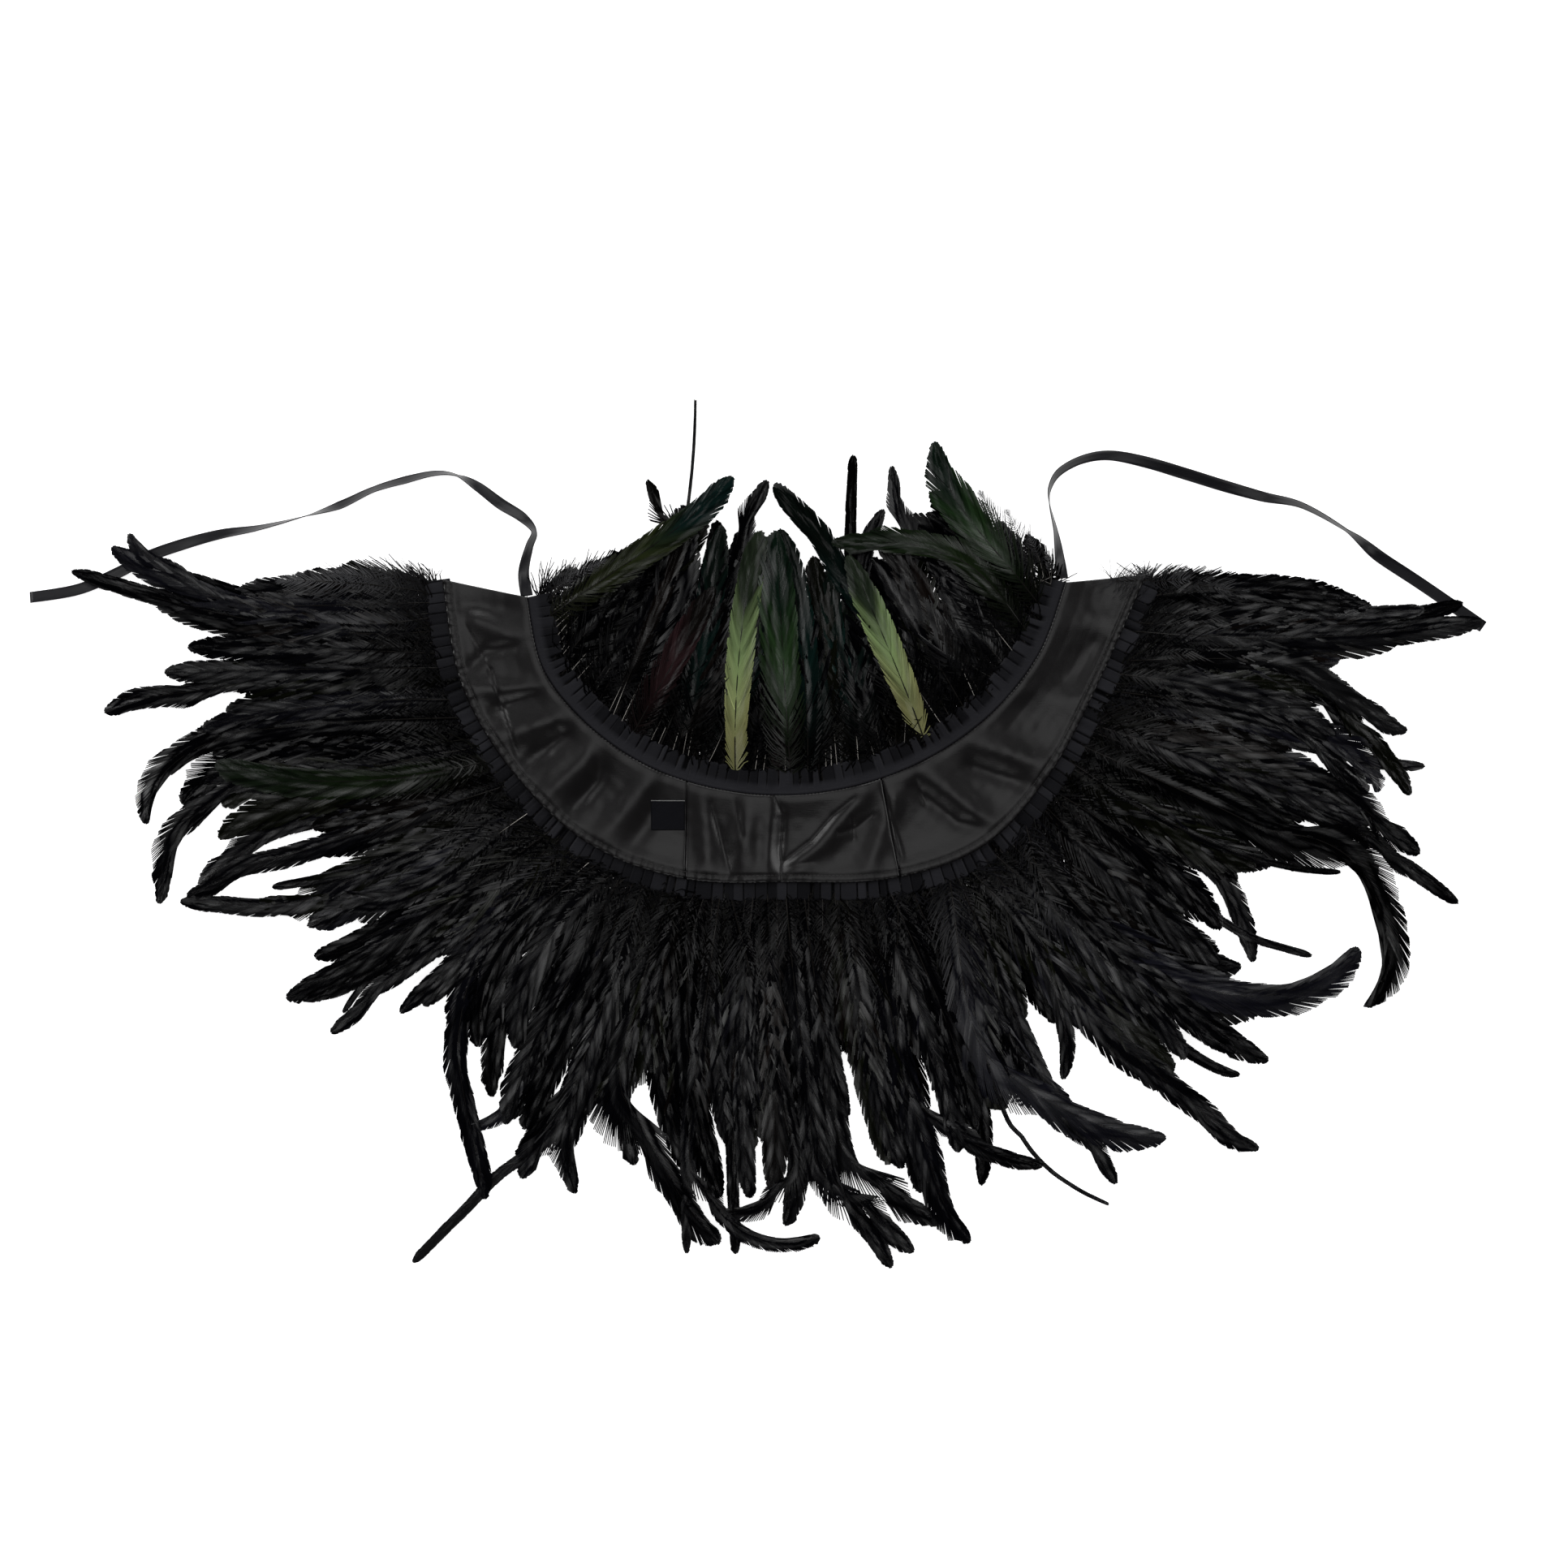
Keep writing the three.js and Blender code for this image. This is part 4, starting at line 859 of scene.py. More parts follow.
# %% Write down the neck's feathers and the openings
collar_feathers = [
    (0.005, 690, 718, 716, 704, 12, "haze"), (0.01, 708, 712, 752, 690, 14, "haze"),
    (0.02, 775, 694, 835, 652, 872, 619, 903, 588, 20, "moss_teal"),
    (0.06, 780, 695, 855, 660, 20, "olive"), (0.14, 800, 730, 868, 640, 19, "olive"),
    (0.22, 835, 680, 818, 640, 797, 592, 10, "brown"), (0.24, 842, 660, 857, 490, 2, "ink"),
    (0.26, 840, 800, 882, 725, 19, "plum"), (0.27, 868, 730, 886, 642, 16, "ink"),
    (0.3, 903, 710, 919, 650, 946, 592, 13, "ink"), (0.34, 872, 760, 890, 648, 19, "teal"),
    (0.38, 918, 820, 930, 735, 19, "teal"), (0.42, 915, 770, 935, 655, 19, "leaf"),
    (0.45, 945, 790, 948, 660, 24, "olive"), (0.48, 972, 860, 975, 790, 17, "bark"),
    (0.5, 962, 760, 958, 655, 26, "forest"), (0.52, 985, 770, 963, 652, 22, "teal"),
    (0.57, 1015, 780, 1003, 685, 18, "olive"), (0.6, 1048, 700, 1052, 560, 8, "brown"),
    (0.615, 1028, 770, 1028, 692, 15, "teal"), (0.63, 1058, 730, 1088, 627, 13, "ink"),
    (0.67, 1124, 700, 1107, 630, 1098, 574, 12, "ink"), (0.7, 1090, 790, 1045, 685, 20, "leaf"),
    (0.73, 1060, 747, 1019, 680, 984, 636, 952, 599, 16, "teal"),
    (0.8, 1140, 745, 1080, 655, 19, "brown"), (0.85, 1150, 770, 1118, 692, 18, "brown"),
    (0.87, 1175, 725, 1135, 655, 19, "ink"),
    (0.93, 1200, 703, 1132, 674, 1080, 669, 1024, 668, 20, "moss"),
    (0.98, 1238, 695, 1188, 634, 1162, 588, 1149, 546, 29, "forest"),
    (0.982, 1240, 668, 1205, 602, 18, "haze"), (0.985, 1262, 682, 1238, 626, 20, "haze"),
    (0.99, 1282, 698, 1264, 654, 18, "haze"), (0.995, 1296, 712, 1286, 678, 14, "haze"),
]
print(len(collar_feathers), "neck feathers are placed by hand")

# Where the floor shows between feathers: the middle, half the width and half the height of each opening.
openings = np.array([
    (360, 1082, 72, 20), (500, 1212, 62, 34), (603, 1305, 10, 24), (640, 1378, 14, 26),
    (615, 1412, 24, 16), (735, 1400, 22, 50), (797, 1340, 18, 40), (925, 1465, 20, 34),
    (1058, 1400, 16, 34), (1118, 1452, 20, 34), (1275, 1282, 28, 36), (1365, 1335, 50, 28),
    (1500, 1290, 56, 14), (1586, 1122, 68, 64), (372, 951, 16, 9), (390, 1085, 38, 13),
    (1235, 1402, 26, 36), (1290, 1432, 36, 20), (1672, 833, 38, 22), (1664, 911, 28, 14),
    (1650, 1016, 46, 16), (275, 890, 30, 12), (300, 930, 30, 10),
])

# %% [markdown]
# The colours are those of dyed black cock feathers, where the bird's own green, bronze and plum still shine
# through. A colour is given at the base, the middle and the tip of the vane.

# %% Mix the feather colours
PLUMES = {
    "wet": ((0.0010, 0.0010, 0.0012), (0.0010, 0.0010, 0.0013), (0.0010, 0.0010, 0.0012)),
    "haze": ((0.010, 0.010, 0.011), (0.030, 0.030, 0.032), (0.060, 0.060, 0.063)),
    "brush": ((0.0014, 0.0014, 0.0018), (0.0022, 0.0022, 0.0028), (0.0120, 0.0120, 0.0130)),
    "black": ((0.0008, 0.0008, 0.0009), (0.0010, 0.0010, 0.0012), (0.0012, 0.0012, 0.0014)),
    "down": ((0.0004, 0.0004, 0.0004), (0.0005, 0.0005, 0.0006), (0.0006, 0.0006, 0.0007)),
    "ink": ((0.0011, 0.0011, 0.0014), (0.0018, 0.0018, 0.0026), (0.0014, 0.0014, 0.0020)),
    # Blue-grey that stands for the soft sheen on some hem feathers: painted sheen over their black.
    "grey": ((0.0021, 0.0021, 0.0030), (0.0051, 0.0051, 0.0078), (0.0036, 0.0036, 0.0054)),
    "brown": ((0.0021, 0.0018, 0.0018), (0.0051, 0.0036, 0.0031), (0.0027, 0.0024, 0.0024)),
    "olive": ((0.0024, 0.0024, 0.0017), (0.0049, 0.0056, 0.0028), (0.0035, 0.0039, 0.0024)),
    "moss": ((0.0032, 0.0040, 0.0024), (0.0072, 0.0128, 0.0048), (0.0064, 0.0104, 0.0056)),
    "moss_teal": ((0.0080, 0.0088, 0.0048), (0.0160, 0.0208, 0.0072), (0.0032, 0.0096, 0.0088)),
    "forest": ((0.0035, 0.0042, 0.0028), (0.0126, 0.0280, 0.0098), (0.0028, 0.0070, 0.0042)),
    "teal": ((0.0021, 0.0028, 0.0028), (0.0042, 0.0140, 0.0119), (0.0042, 0.0070, 0.0056)),
    "leaf": ((0.2610, 0.2610, 0.1109), (0.2218, 0.3132, 0.1305), (0.0183, 0.0261, 0.0157)),
    "plum": ((0.0084, 0.0056, 0.0056), (0.0385, 0.0189, 0.0210), (0.0084, 0.0070, 0.0063)),
    "dusk": ((0.0024, 0.0024, 0.0024), (0.0040, 0.0080, 0.0072), (0.0040, 0.0064, 0.0048)),
    "bark": ((0.016, 0.013, 0.013), (0.020, 0.016, 0.016), (0.006, 0.006, 0.005)),
}
FILLERS = {
    "hem": ["ink", "ink", "grey", "ink", "brown", "ink", "olive"],
    "collar": ["ink", "dusk", "ink", "olive", "brown", "ink"],
}
COLOUR_STOPS = [0.1, 0.45, 0.68]


def plume_colour(name, along):
    """The colour along a feather, from its base to its tip."""
    stops = np.array(PLUMES[name])
    return np.stack([np.interp(along, COLOUR_STOPS, stops[:, k]) for k in range(3)], axis=-1)


# %% [markdown]
# ### How a feather lies and how wide it is
# A feather with one noted place on its way bends simply through it, and one with more is a smooth line
# through them all. Its vane fills out, holds its width and closes round the tip. A barb runs forward as it
# runs out, so it ends further on than it starts, and its reach is read off the outline where it ends, not
# where it is rooted.

# %% Draw a quill line and a vane's outline
QUILL_POINTS = 56
VIA = 0.6
CURVE = 0.7


def evenly(line, end=1.0):
    """The line up to a share of its length, as points at even distances."""
    run = runs(line)
    want = np.linspace(0, end * run[-1], QUILL_POINTS)
    return np.stack([np.interp(want, run, line[:, k]) for k in (0, 1)], axis=-1)


def quill_line(root, passed):
    """A line from the root past the noted places to the tip: one bend, or a smooth line through several."""
    if len(passed) > 2:
        return evenly(through([root, *passed], 400))
    via, tip = passed
    control = (via - (1 - VIA) ** 2 * root - VIA**2 * tip) / (2 * VIA * (1 - VIA))
    t = np.linspace(0, 1, 200)[:, None]
    return evenly((1 - t) ** 2 * root + 2 * t * (1 - t) * control + t**2 * tip)


def rooted(line, root):
    """The same line drawn from another root, with its tip left where it is."""
    fade = np.linspace(1, 0, len(line))[:, None] ** 2
    return line + (root - line[0]) * fade


def before_openings(line):
    """The share of a line that can be used before it reaches an opening."""
    x, y, wide, tall = openings.T
    middles = on_plan(np.column_stack([x, y]))
    off = (line[:, None] - middles) / (np.column_stack([wide, tall]) * PIXEL)
    inside = (off**2).sum(axis=-1).min(axis=1) < 1
    return np.argmax(inside) / (len(line) - 1) if inside.any() else 1.0


def outline(along, half, round_from):
    """Half of the vane's width at shares of its length: it fills out, holds, and closes round the tip."""
    body = np.sin(math.pi * (0.1 + 0.66 * along**0.9)) ** 0.7
    closing = (np.clip(along, round_from, 1) - round_from) / (1 - round_from)
    return half * body * np.sqrt(1 - closing**2)


def lean_at(along):
    """How far a barb runs forward for each millimetre that it runs out. Near the tip it lies almost along."""
    return 1.9 + 1.2 * along**2


def barb_reach(along, half, length, round_from):
    """How far out the barb rooted at each place ends, so that the barbs' ends draw the vane's outline."""
    ends = np.linspace(0, 1, 400)
    reach = outline(ends, half, round_from)
    roots = np.maximum.accumulate(ends - (lean_at(ends) + CURVE) * reach / length)
    return np.interp(along, roots + np.arange(400) * 1e-9, reach)


# %% [markdown]
# ### Filling up a trim
# Between the listed feathers lie others, each part of the way between its two neighbours' lines and
# shorter, and they stop before an opening. Short ones, of down or plain black, lie lowest round the roots.
# All of a trim's feathers are then spaced evenly along the tape and sewn in turn to its two rows, as in the
# solids. Each lies on its own deck: the quill comes out of the tape, rises to that height and sinks a
# little further out, and where it passes over a ribbon it is lifted clear. The few that show whole lie on
# top.

# %% Lay out the quill lines
DECKS = {"hem": (1.6 * MM, 9.8 * MM), "collar": (1.8 * MM, 11.4 * MM)}
BETWEEN = {"hem": 150, "collar": 86}
DOWNS = {"hem": 190, "collar": 130}
PALE_SHARE = {"hem": 0.01, "collar": 0.26}
SHOWN_WHOLE = {"leaf", "plum", "moss_teal", "forest", "moss"}
BELOW = {"down", "black"}
COLOURFUL = (0.28, 0.8)
DOWN_WIDE = 30 * MM


def noted_feathers(trim_name, table):
    """The listed feathers: where each is sewn, its places, plan line, width and colour."""
    edge, free = TRIMS[trim_name]["edge"], TRIMS[trim_name]["free"]
    rows = []
    for place, *numbers, wide, plume in table:
        passed = on_plan(np.reshape(numbers, (-1, 2)))
        line = quill_line(edge.at(place, free), passed)
        rows.append(dict(place=place, passed=passed, line=line, wide=wide * MM, plume=plume))
    return rows


def feathers_between(trim_name, rows):
    """Feathers that lie between the lines of those listed, and short ones of down under them all."""
    edge, free = TRIMS[trim_name]["edge"], TRIMS[trim_name]["free"]
    others = []
    for n in range(BETWEEN[trim_name]):
        place = (n + 0.5) / BETWEEN[trim_name]
        after = next((k for k, row in enumerate(rows) if row["place"] > place), len(rows) - 1)
        a, b = rows[max(after, 1) - 1], rows[max(after, 1)]
        share = np.clip((place - a["place"]) / (b["place"] - a["place"]), 0, 1)
        line = rooted(a["line"] + share * (b["line"] - a["line"]), edge.at(place, free))
        reach = min(0.5 + 0.34 * hashed(n + 1), max(before_openings(line), 0.2))
        choice = FILLERS[trim_name]
        varied = trim_name == "hem" or COLOURFUL[0] < place < COLOURFUL[1]
        plume = choice[int(hashed(n + 700) * len(choice))] if varied else "ink"
        wide = (26 + 10 * hashed(n + 101)) * MM
        others.append(dict(place=place, line=evenly(line, reach), wide=wide, plume=plume))
    for n in range(DOWNS[trim_name]):
        place = (n + 0.5) / DOWNS[trim_name]
        near = min(rows, key=lambda row: abs(row["place"] - place))
        line = rooted(near["line"], edge.at(place, free))
        reach = min((38 + 26 * hashed(n + 300)) * MM / runs(line)[-1], 1)
        plume = "down" if n % 2 else "black"
        others.append(dict(place=place, line=evenly(line, reach), wide=DOWN_WIDE, plume=plume))
    return others


def lay_out(trim_name, table):
    """Every feather of a trim, sewn to one of its two rows and given its line and its deck."""
    edge, free = TRIMS[trim_name]["edge"], TRIMS[trim_name]["free"]
    rows = noted_feathers(trim_name, table)
    everything = sorted(rows + feathers_between(trim_name, rows), key=lambda feather: feather["place"])
    for n, feather in enumerate(everything):
        feather["place"] = (n + 0.5) / len(everything)
        feather["row"] = n % 2
        feather["seed"] = n + (1000 if trim_name == "collar" else 0)
        low = feather["plume"] in BELOW
        feather["pale"] = not low and bool(hashed(feather["seed"] + 77) < PALE_SHARE[trim_name])
        root = edge.at(feather["place"], free - (1 if feather["pale"] else 10 if low else 5) * MM)
        placed = "passed" in feather
        line = quill_line(root, feather["passed"]) if placed else evenly(rooted(feather["line"], root))
        feather["line"] = line
        deck = 0.5 * feather["row"] + 0.5 * hashed(feather["seed"] + 11)
        if low:
            feather["deck"] = 0.2 * deck
        elif placed and feather["plume"] in SHOWN_WHOLE:
            feather["deck"] = 1.25
        else:
            feather["deck"] = 0.65 * deck + 0.3 * placed
    return everything


trims = {"hem": lay_out("hem", hem_feathers), "collar": lay_out("collar", collar_feathers)}
print({name: len(feathers) for name, feathers in trims.items()})

# %% [markdown]
# ### From lines to a mesh that carries them
# A tree reads its lines from a mesh of bare edges. Each point of a line stores what the feather is like
# there, so that one tree can grow seven hundred different feathers. Heights are worked out here too, since
# the quills of a piece lie over each other, over the tape and over the ribbons.

# %% Set the quills' heights
RISES_IN = 25 * MM
SINKS_FROM, SINKS_OVER, SINKS_BY = 90 * MM, 120 * MM, 0.25
LIFT_OVER_TIE, TIE_CLEAR, TIE_FADES = 3.6 * MM, 33 * MM, 19 * MM
QUILL_LOWEST, QUILL_HIGHEST = 1.1 * MM, 16 * MM
ROOT, PALE_ROOT, BARE_FADES = 2.9 * MM, 4.6 * MM, 14 * MM
over_ties = np.concatenate([centre[::3, :2] for centre in tie_centres.values()])


def bare_share(feather, run):
    """How bare a pale quill is along its line: wholly near its root, then less and less."""
    return feather["pale"] * np.clip(1.6 - run / BARE_FADES, 0, 1)


def quill_heights(trim_name, feather):
    """The height of the quill along its line."""
    low, high = DECKS[trim_name]
    line = feather["line"]
    run = runs(line)
    away = TRIMS[trim_name]["edge"].away(line) - TRIMS[trim_name]["free"]
    risen = np.clip(run / RISES_IN, 0, 1)
    sunk = SINKS_BY * np.clip((away - SINKS_FROM) / SINKS_OVER, 0, 1)
    level = low + (high - low) * feather["deck"] * (1 - sunk)
    level = level + 0.9 * MM * wander(run * 75, feather["seed"]) * risen
    tie_gap = np.linalg.norm(line[:, None] - over_ties[None], axis=-1).min(axis=1)
    lift = LIFT_OVER_TIE * np.clip((TIE_CLEAR - tie_gap) / TIE_FADES, 0, 1)
    level = np.clip(level + lift, QUILL_LOWEST, QUILL_HIGHEST)
    root = PALE_ROOT if feather["pale"] else ROOT
    return root + (level - root) * risen + bare_share(feather, run) * 0.6 * MM


example = quill_heights("hem", trims["hem"][0])
print("heights of the first hem quill in mm, from root to tip:", (example[::11] * 1000).round(1))

# %% [markdown]
# A pale quill shows bare where it leaves the tape, so its vane starts further on. Down and the hazy
# feathers at the corners are fluffy along their whole length, and the others only at their foot.

# %% Put the quills of a piece in one mesh
BARE = 16 * MM
FLUFFY = {"down": 1.6, "haze": 1.6, "leaf": 0.05}
FLUFFY_FOOT = 0.3


def feather_values(feather):
    """What the tree and the finish read at each point of a quill."""
    line, seed, plume = feather["line"], feather["seed"], feather["plume"]
    run = runs(line)
    length, half = run[-1], feather["wide"] / 2
    along = run / length
    bare = (BARE if feather["pale"] else 0) / length
    on_vane = np.clip((along - bare) / (1 - bare), 0, 1)
    closing = min(0.5, half * (1.3 + 2.4 * hashed(seed + 9)) / length)
    reach = barb_reach(on_vane, half, length * (1 - bare), 1 - closing)
    same = np.ones(len(line))
    return {
        "reach": np.where(along < bare, 0, reach),
        "lean": lean_at(on_vane),
        "stout": same * (0.45 if plume == "haze" else 1),
        "shaft_radius": (0.5 - 0.42 * along) * MM * (0.45 if feather["pale"] else 1),
        "downy": np.clip(1 - on_vane / FLUFFY.get(plume, FLUFFY_FOOT), 0, 1) ** 0.8,
        "run": run,
        "seed": same * seed,
        "roll": 0.26 * (hashed(seed + 31) - 0.5) + 0.09 * wander(run * 22, seed),
        "crown": same * (0.05 + 0.12 * hashed(seed + 43) + (0.35 if plume in BELOW else 0)),
        "asymmetry": same * 0.3 * (hashed(seed + 57) - 0.5),
        "pale": bare_share(feather, run) * (0.35 + 0.65 * hashed(seed + 5)),
        "plume": plume_colour(plume, on_vane),
    }


def quill_mesh(name, trim_name, feathers):
    """A mesh of bare lines with what each feather is like stored on its points."""
    points = [np.column_stack([f["line"], quill_heights(trim_name, f)]) for f in feathers]
    starts = range(0, len(feathers) * QUILL_POINTS, QUILL_POINTS)
    edges = [(first + k, first + k + 1) for first in starts for k in range(QUILL_POINTS - 1)]
    mesh = bpy.data.meshes.new(name)
    mesh.from_pydata(np.concatenate(points).tolist(), edges, [])
    stored = [feather_values(feather) for feather in feathers]
    for key in stored[0]:
        flat = np.concatenate([values[key] for values in stored]).astype(np.float32)
        kind = "FLOAT" if flat.ndim == 1 else "FLOAT_VECTOR"
        layer = mesh.attributes.new(key, kind, "POINT")
        layer.data.foreach_set("value" if kind == "FLOAT" else "vector", flat.ravel())
    return mesh


print("each quill stores", list(feather_values(trims["hem"][0])))

# %% [markdown]
# ### What every tree needs
# A Geometry Nodes tree is built like a material, node by node on a board. Its sizes are named inputs. Every
# tree ends alike: what stands on points is made real, because the export drops instances, and the finish is
# set.


# %% Make what every tree needs
def new_tree(name, inputs):
    """A Geometry Nodes tree with a geometry in and out and these named inputs, and its board."""
    tree = bpy.data.node_groups.new(name, "GeometryNodeTree")
    tree.interface.new_socket("Geometry", in_out="INPUT", socket_type="NodeSocketGeometry")
    for label, kind, value in inputs:
        socket = tree.interface.new_socket(label, in_out="INPUT", socket_type=f"NodeSocket{kind}")
        if value is not None:
            socket.default_value = value
    tree.interface.new_socket("Geometry", in_out="OUTPUT", socket_type="NodeSocketGeometry")
    board = Board(tree)
    return tree, board, board.node("NodeGroupInput")


def named(board, name, kind="FLOAT"):
    return board.node("GeometryNodeInputNamedAttribute", {"data_type": kind}, {"Name": name})


def store(board, geometry, name, value, kind="FLOAT"):
    settings = {"data_type": kind, "domain": "POINT"}
    sockets = {"Geometry": geometry, "Name": name, "Value": value}
    return board.node("GeometryNodeStoreNamedAttribute", settings, sockets)


def points_along(board, curves, step):
    return board.node("GeometryNodeCurveToPoints", {"mode": "LENGTH"}, {"Curve": curves, "Length": step})


def white(board, number):
    return board.node("ShaderNodeTexWhiteNoise", {"noise_dimensions": "1D"}, {"W": number}, "Value")


def slow_noise(board, number):
    settings = {"noise_dimensions": "1D"}
    return board.node("ShaderNodeTexNoise", settings, {"W": number, "Scale": 1.0, "Detail": 1.0})


def end_tree(board, geometry, material):
    real = board.node("GeometryNodeRealizeInstances", None, {"Geometry": geometry})
    dressed = board.node("GeometryNodeSetMaterial", None, {"Geometry": real, "Material": material})
    board.node("NodeGroupOutput", None, {0: dressed})


# %% [markdown]
# ### Strips along the quills
# The quill lines become curves, and points are set along them a barb's spacing apart, once for each side. A
# small flat strip stands on every point. Real barbs hold together in bunches of uneven length, so each
# strip knows its bunch and how far it is from the bunch's middle. It also gets a little luck of its own,
# from a fixed seed.

# %% Set strips along the quills
SHORTEST = 0.5 * MM


def flat_strips(board, given, curves):
    """A flat strip on every point along the quills, once for each side, that knows its bunch and its luck."""
    dots = points_along(board, curves, given.other("Barb spacing"))
    dots = store(board, dots, "forward", dots.other("Tangent"), "FLOAT_VECTOR")
    dots = store(board, dots, "root", board.node("GeometryNodeInputPosition"), "FLOAT_VECTOR")
    too_short = board.maths("LESS_THAN", named(board, "reach"), SHORTEST)
    cut = {"Geometry": dots, "Selection": too_short}
    dots = board.node("GeometryNodeDeleteGeometry", {"domain": "POINT"}, cut)
    sides = []
    for hand in (-1.0, 1.0):
        side = store(board, dots, "hand", hand)
        seed, run = named(board, "seed"), named(board, "run")
        bunch = given.other("Bunch")
        uneven = slow_noise(board, run * 60 + seed * 13.7 + hand * 3.1) * 1.6
        at = run / bunch + uneven + seed * 0.37 + hand * 0.21
        number = board.maths("FLOOR", at)
        fixed = number + seed * 57.3 + hand * 7.1 + given.other("Seed")
        limits = {"Min": 0.0, "Max": 1.0, "Seed": 3}
        each = board.node("FunctionNodeRandomValue", {"data_type": "FLOAT"}, limits, "Value")
        side = store(board, side, "pull", (0.5 - (at - number)) * bunch * 0.3)
        side = store(board, side, "bunch_luck", white(board, fixed))
        side = store(board, side, "bunch_turn", white(board, fixed + 0.5))
        side = store(board, side, "luck", each)
        sides.append(side)
    dots = board.node("GeometryNodeJoinGeometry", None, {"Geometry": sides})
    sizes = {"Size X": 1.0, "Size Y": 1.0, "Vertices X": 4, "Vertices Y": 2}
    strip = board.node("GeometryNodeMeshGrid", None, sizes)
    corner = board.node("ShaderNodeSeparateXYZ", None, {0: board.node("GeometryNodeInputPosition")})
    strip = store(board, strip, "out", corner + 0.5)
    strip = store(board, strip, "beside", corner.other("Y"))
    barbs = board.node("GeometryNodeInstanceOnPoints", None, {"Points": dots, "Instance": strip})
    return board.node("GeometryNodeRealizeInstances", None, {"Geometry": barbs})


# %% [markdown]
# ### From strip to barb
# After the strips are made real, each of their corners is moved: along the barb by its slant and curve,
# outwards by the vane's reach, up or down by the vane's crown and the feather's roll. Barbs of one bunch
# lean to the same spot, which opens the splits between bunches. In the down they are thinner, longer and
# each goes its own way. No corner may sink into the floor or stand above the top feathers.

# %% Bend the strips into barbs
# The heights that corners keep between, and a limit to the sides, in metres, that nothing comes near.
LOWEST, HIGHEST = 0.2 * MM, 20 * MM
FAR = 9
FULL_PULL = 9 * MM


def barb_place(board, given):
    """Where each corner of a strip goes to make it a barb."""
    out, beside, hand = named(board, "out"), named(board, "beside"), named(board, "hand")
    downy, luck = named(board, "downy"), named(board, "luck")
    bunch_luck, bunch_turn = named(board, "bunch_luck"), named(board, "bunch_turn")
    forward = named(board, "forward", "FLOAT_VECTOR")
    level = board.vector("NORMALIZE", board.vector("CROSS_PRODUCT", (0, 0, 1), forward))
    upright = board.vector("CROSS_PRODUCT", forward, level)
    roll = named(board, "roll") + (bunch_turn - 0.5) * 0.07
    turn, lift = board.maths("COSINE", roll), board.maths("SINE", roll)
    aside = board.total(board.scaled(level, turn * hand), board.scaled(upright, lift * hand))
    up = board.total(board.scaled(upright, turn), board.scaled(level, lift * -1))

    uneven = 1 + named(board, "asymmetry") * hand
    half = named(board, "reach") * uneven * (0.96 + bunch_luck * 0.08) * (1 + downy * (luck * 0.6 - 0.1))
    lean = board.between(downy, named(board, "lean"), 0.4)
    curve = board.between(downy, CURVE, 0.1)
    stray = (luck - 0.5) * (downy * 1.5 + 0.06)
    sway = board.maths("SINE", out * 7 + luck * 60) * downy * 0.1
    pulled = named(board, "pull") * out * out * board.maths("MINIMUM", half / FULL_PULL, 1.0)
    ahead = half * (lean * out + curve * out * out + stray * out + sway) + pulled
    loose, crowned = out * (luck - 0.3) * downy * 0.4, out * out * named(board, "crown")
    rise = half * (loose - crowned + (bunch_luck - 0.5) * 0.05 * out)
    slope = lean + curve * out * 2
    full = board.between(downy, given.other("Barb width"), given.other("Down width"))
    wide = full * (1 - out * 0.55) * named(board, "stout")
    beam = board.vector("NORMALIZE", board.vector("SUBTRACT", forward, board.scaled(aside, slope)))
    place = board.total(
        named(board, "root", "FLOAT_VECTOR"),
        board.scaled(forward, ahead),
        board.scaled(aside, half * out),
        board.scaled(up, rise + beside * wide * (0.04 + luck * 0.13)),
        board.scaled(beam, beside * wide),
    )
    place = board.vector("MAXIMUM", place, (-FAR, -FAR, LOWEST))
    return board.vector("MINIMUM", place, (FAR, FAR, HIGHEST))


# %% [markdown]
# ### The whole tree
# The shaft is a thin tapering tube along the same line. Barbs and shafts come out of one tree, so that a
# row of feathers is one mesh.

# %% Build the barb tree
SHAFT_STEP = 8 * MM


def thin_shafts(board, curves):
    """A tapering tube along every quill."""
    steps = {"Curve": curves, "Length": SHAFT_STEP}
    thick = board.node("GeometryNodeResampleCurve", {"mode": "LENGTH"}, steps)
    ring = board.node("GeometryNodeCurvePrimitiveCircle", None, {"Resolution": 4, "Radius": 1.0})
    return board.node("GeometryNodeCurveToMesh", None, {
        "Curve": thick, "Profile Curve": ring, "Scale": named(board, "shaft_radius"), "Fill Caps": True,
    })


def barb_tree():
    """The tree that grows barbs and a shaft along every quill line."""
    tree, board, given = new_tree("feathers_from_quills", [
        ("Barb spacing", "Float", 1.38 * MM), ("Barb width", "Float", 1.4 * MM),
        ("Down width", "Float", 1.05 * MM), ("Bunch", "Float", 9 * MM), ("Seed", "Float", 0.0),
        ("Finish", "Material", None),
    ])
    curves = board.node("GeometryNodeMeshToCurve", None, {"Mesh": given})
    moved = {"Geometry": flat_strips(board, given, curves), "Position": barb_place(board, given)}
    barbs = store(board, board.node("GeometryNodeSetPosition", None, moved), "shaft", 0.0)
    shafts = store(board, thin_shafts(board, curves), "shaft", 1.0)
    both = board.node("GeometryNodeJoinGeometry", None, {"Geometry": [barbs, shafts]})
    smooth = board.node("GeometryNodeSetShadeSmooth", None, {"Geometry": both})
    end_tree(board, smooth, given.other("Finish"))
    return tree


feather_growth = barb_tree()
print("the barb tree has", len(feather_growth.nodes), "nodes")
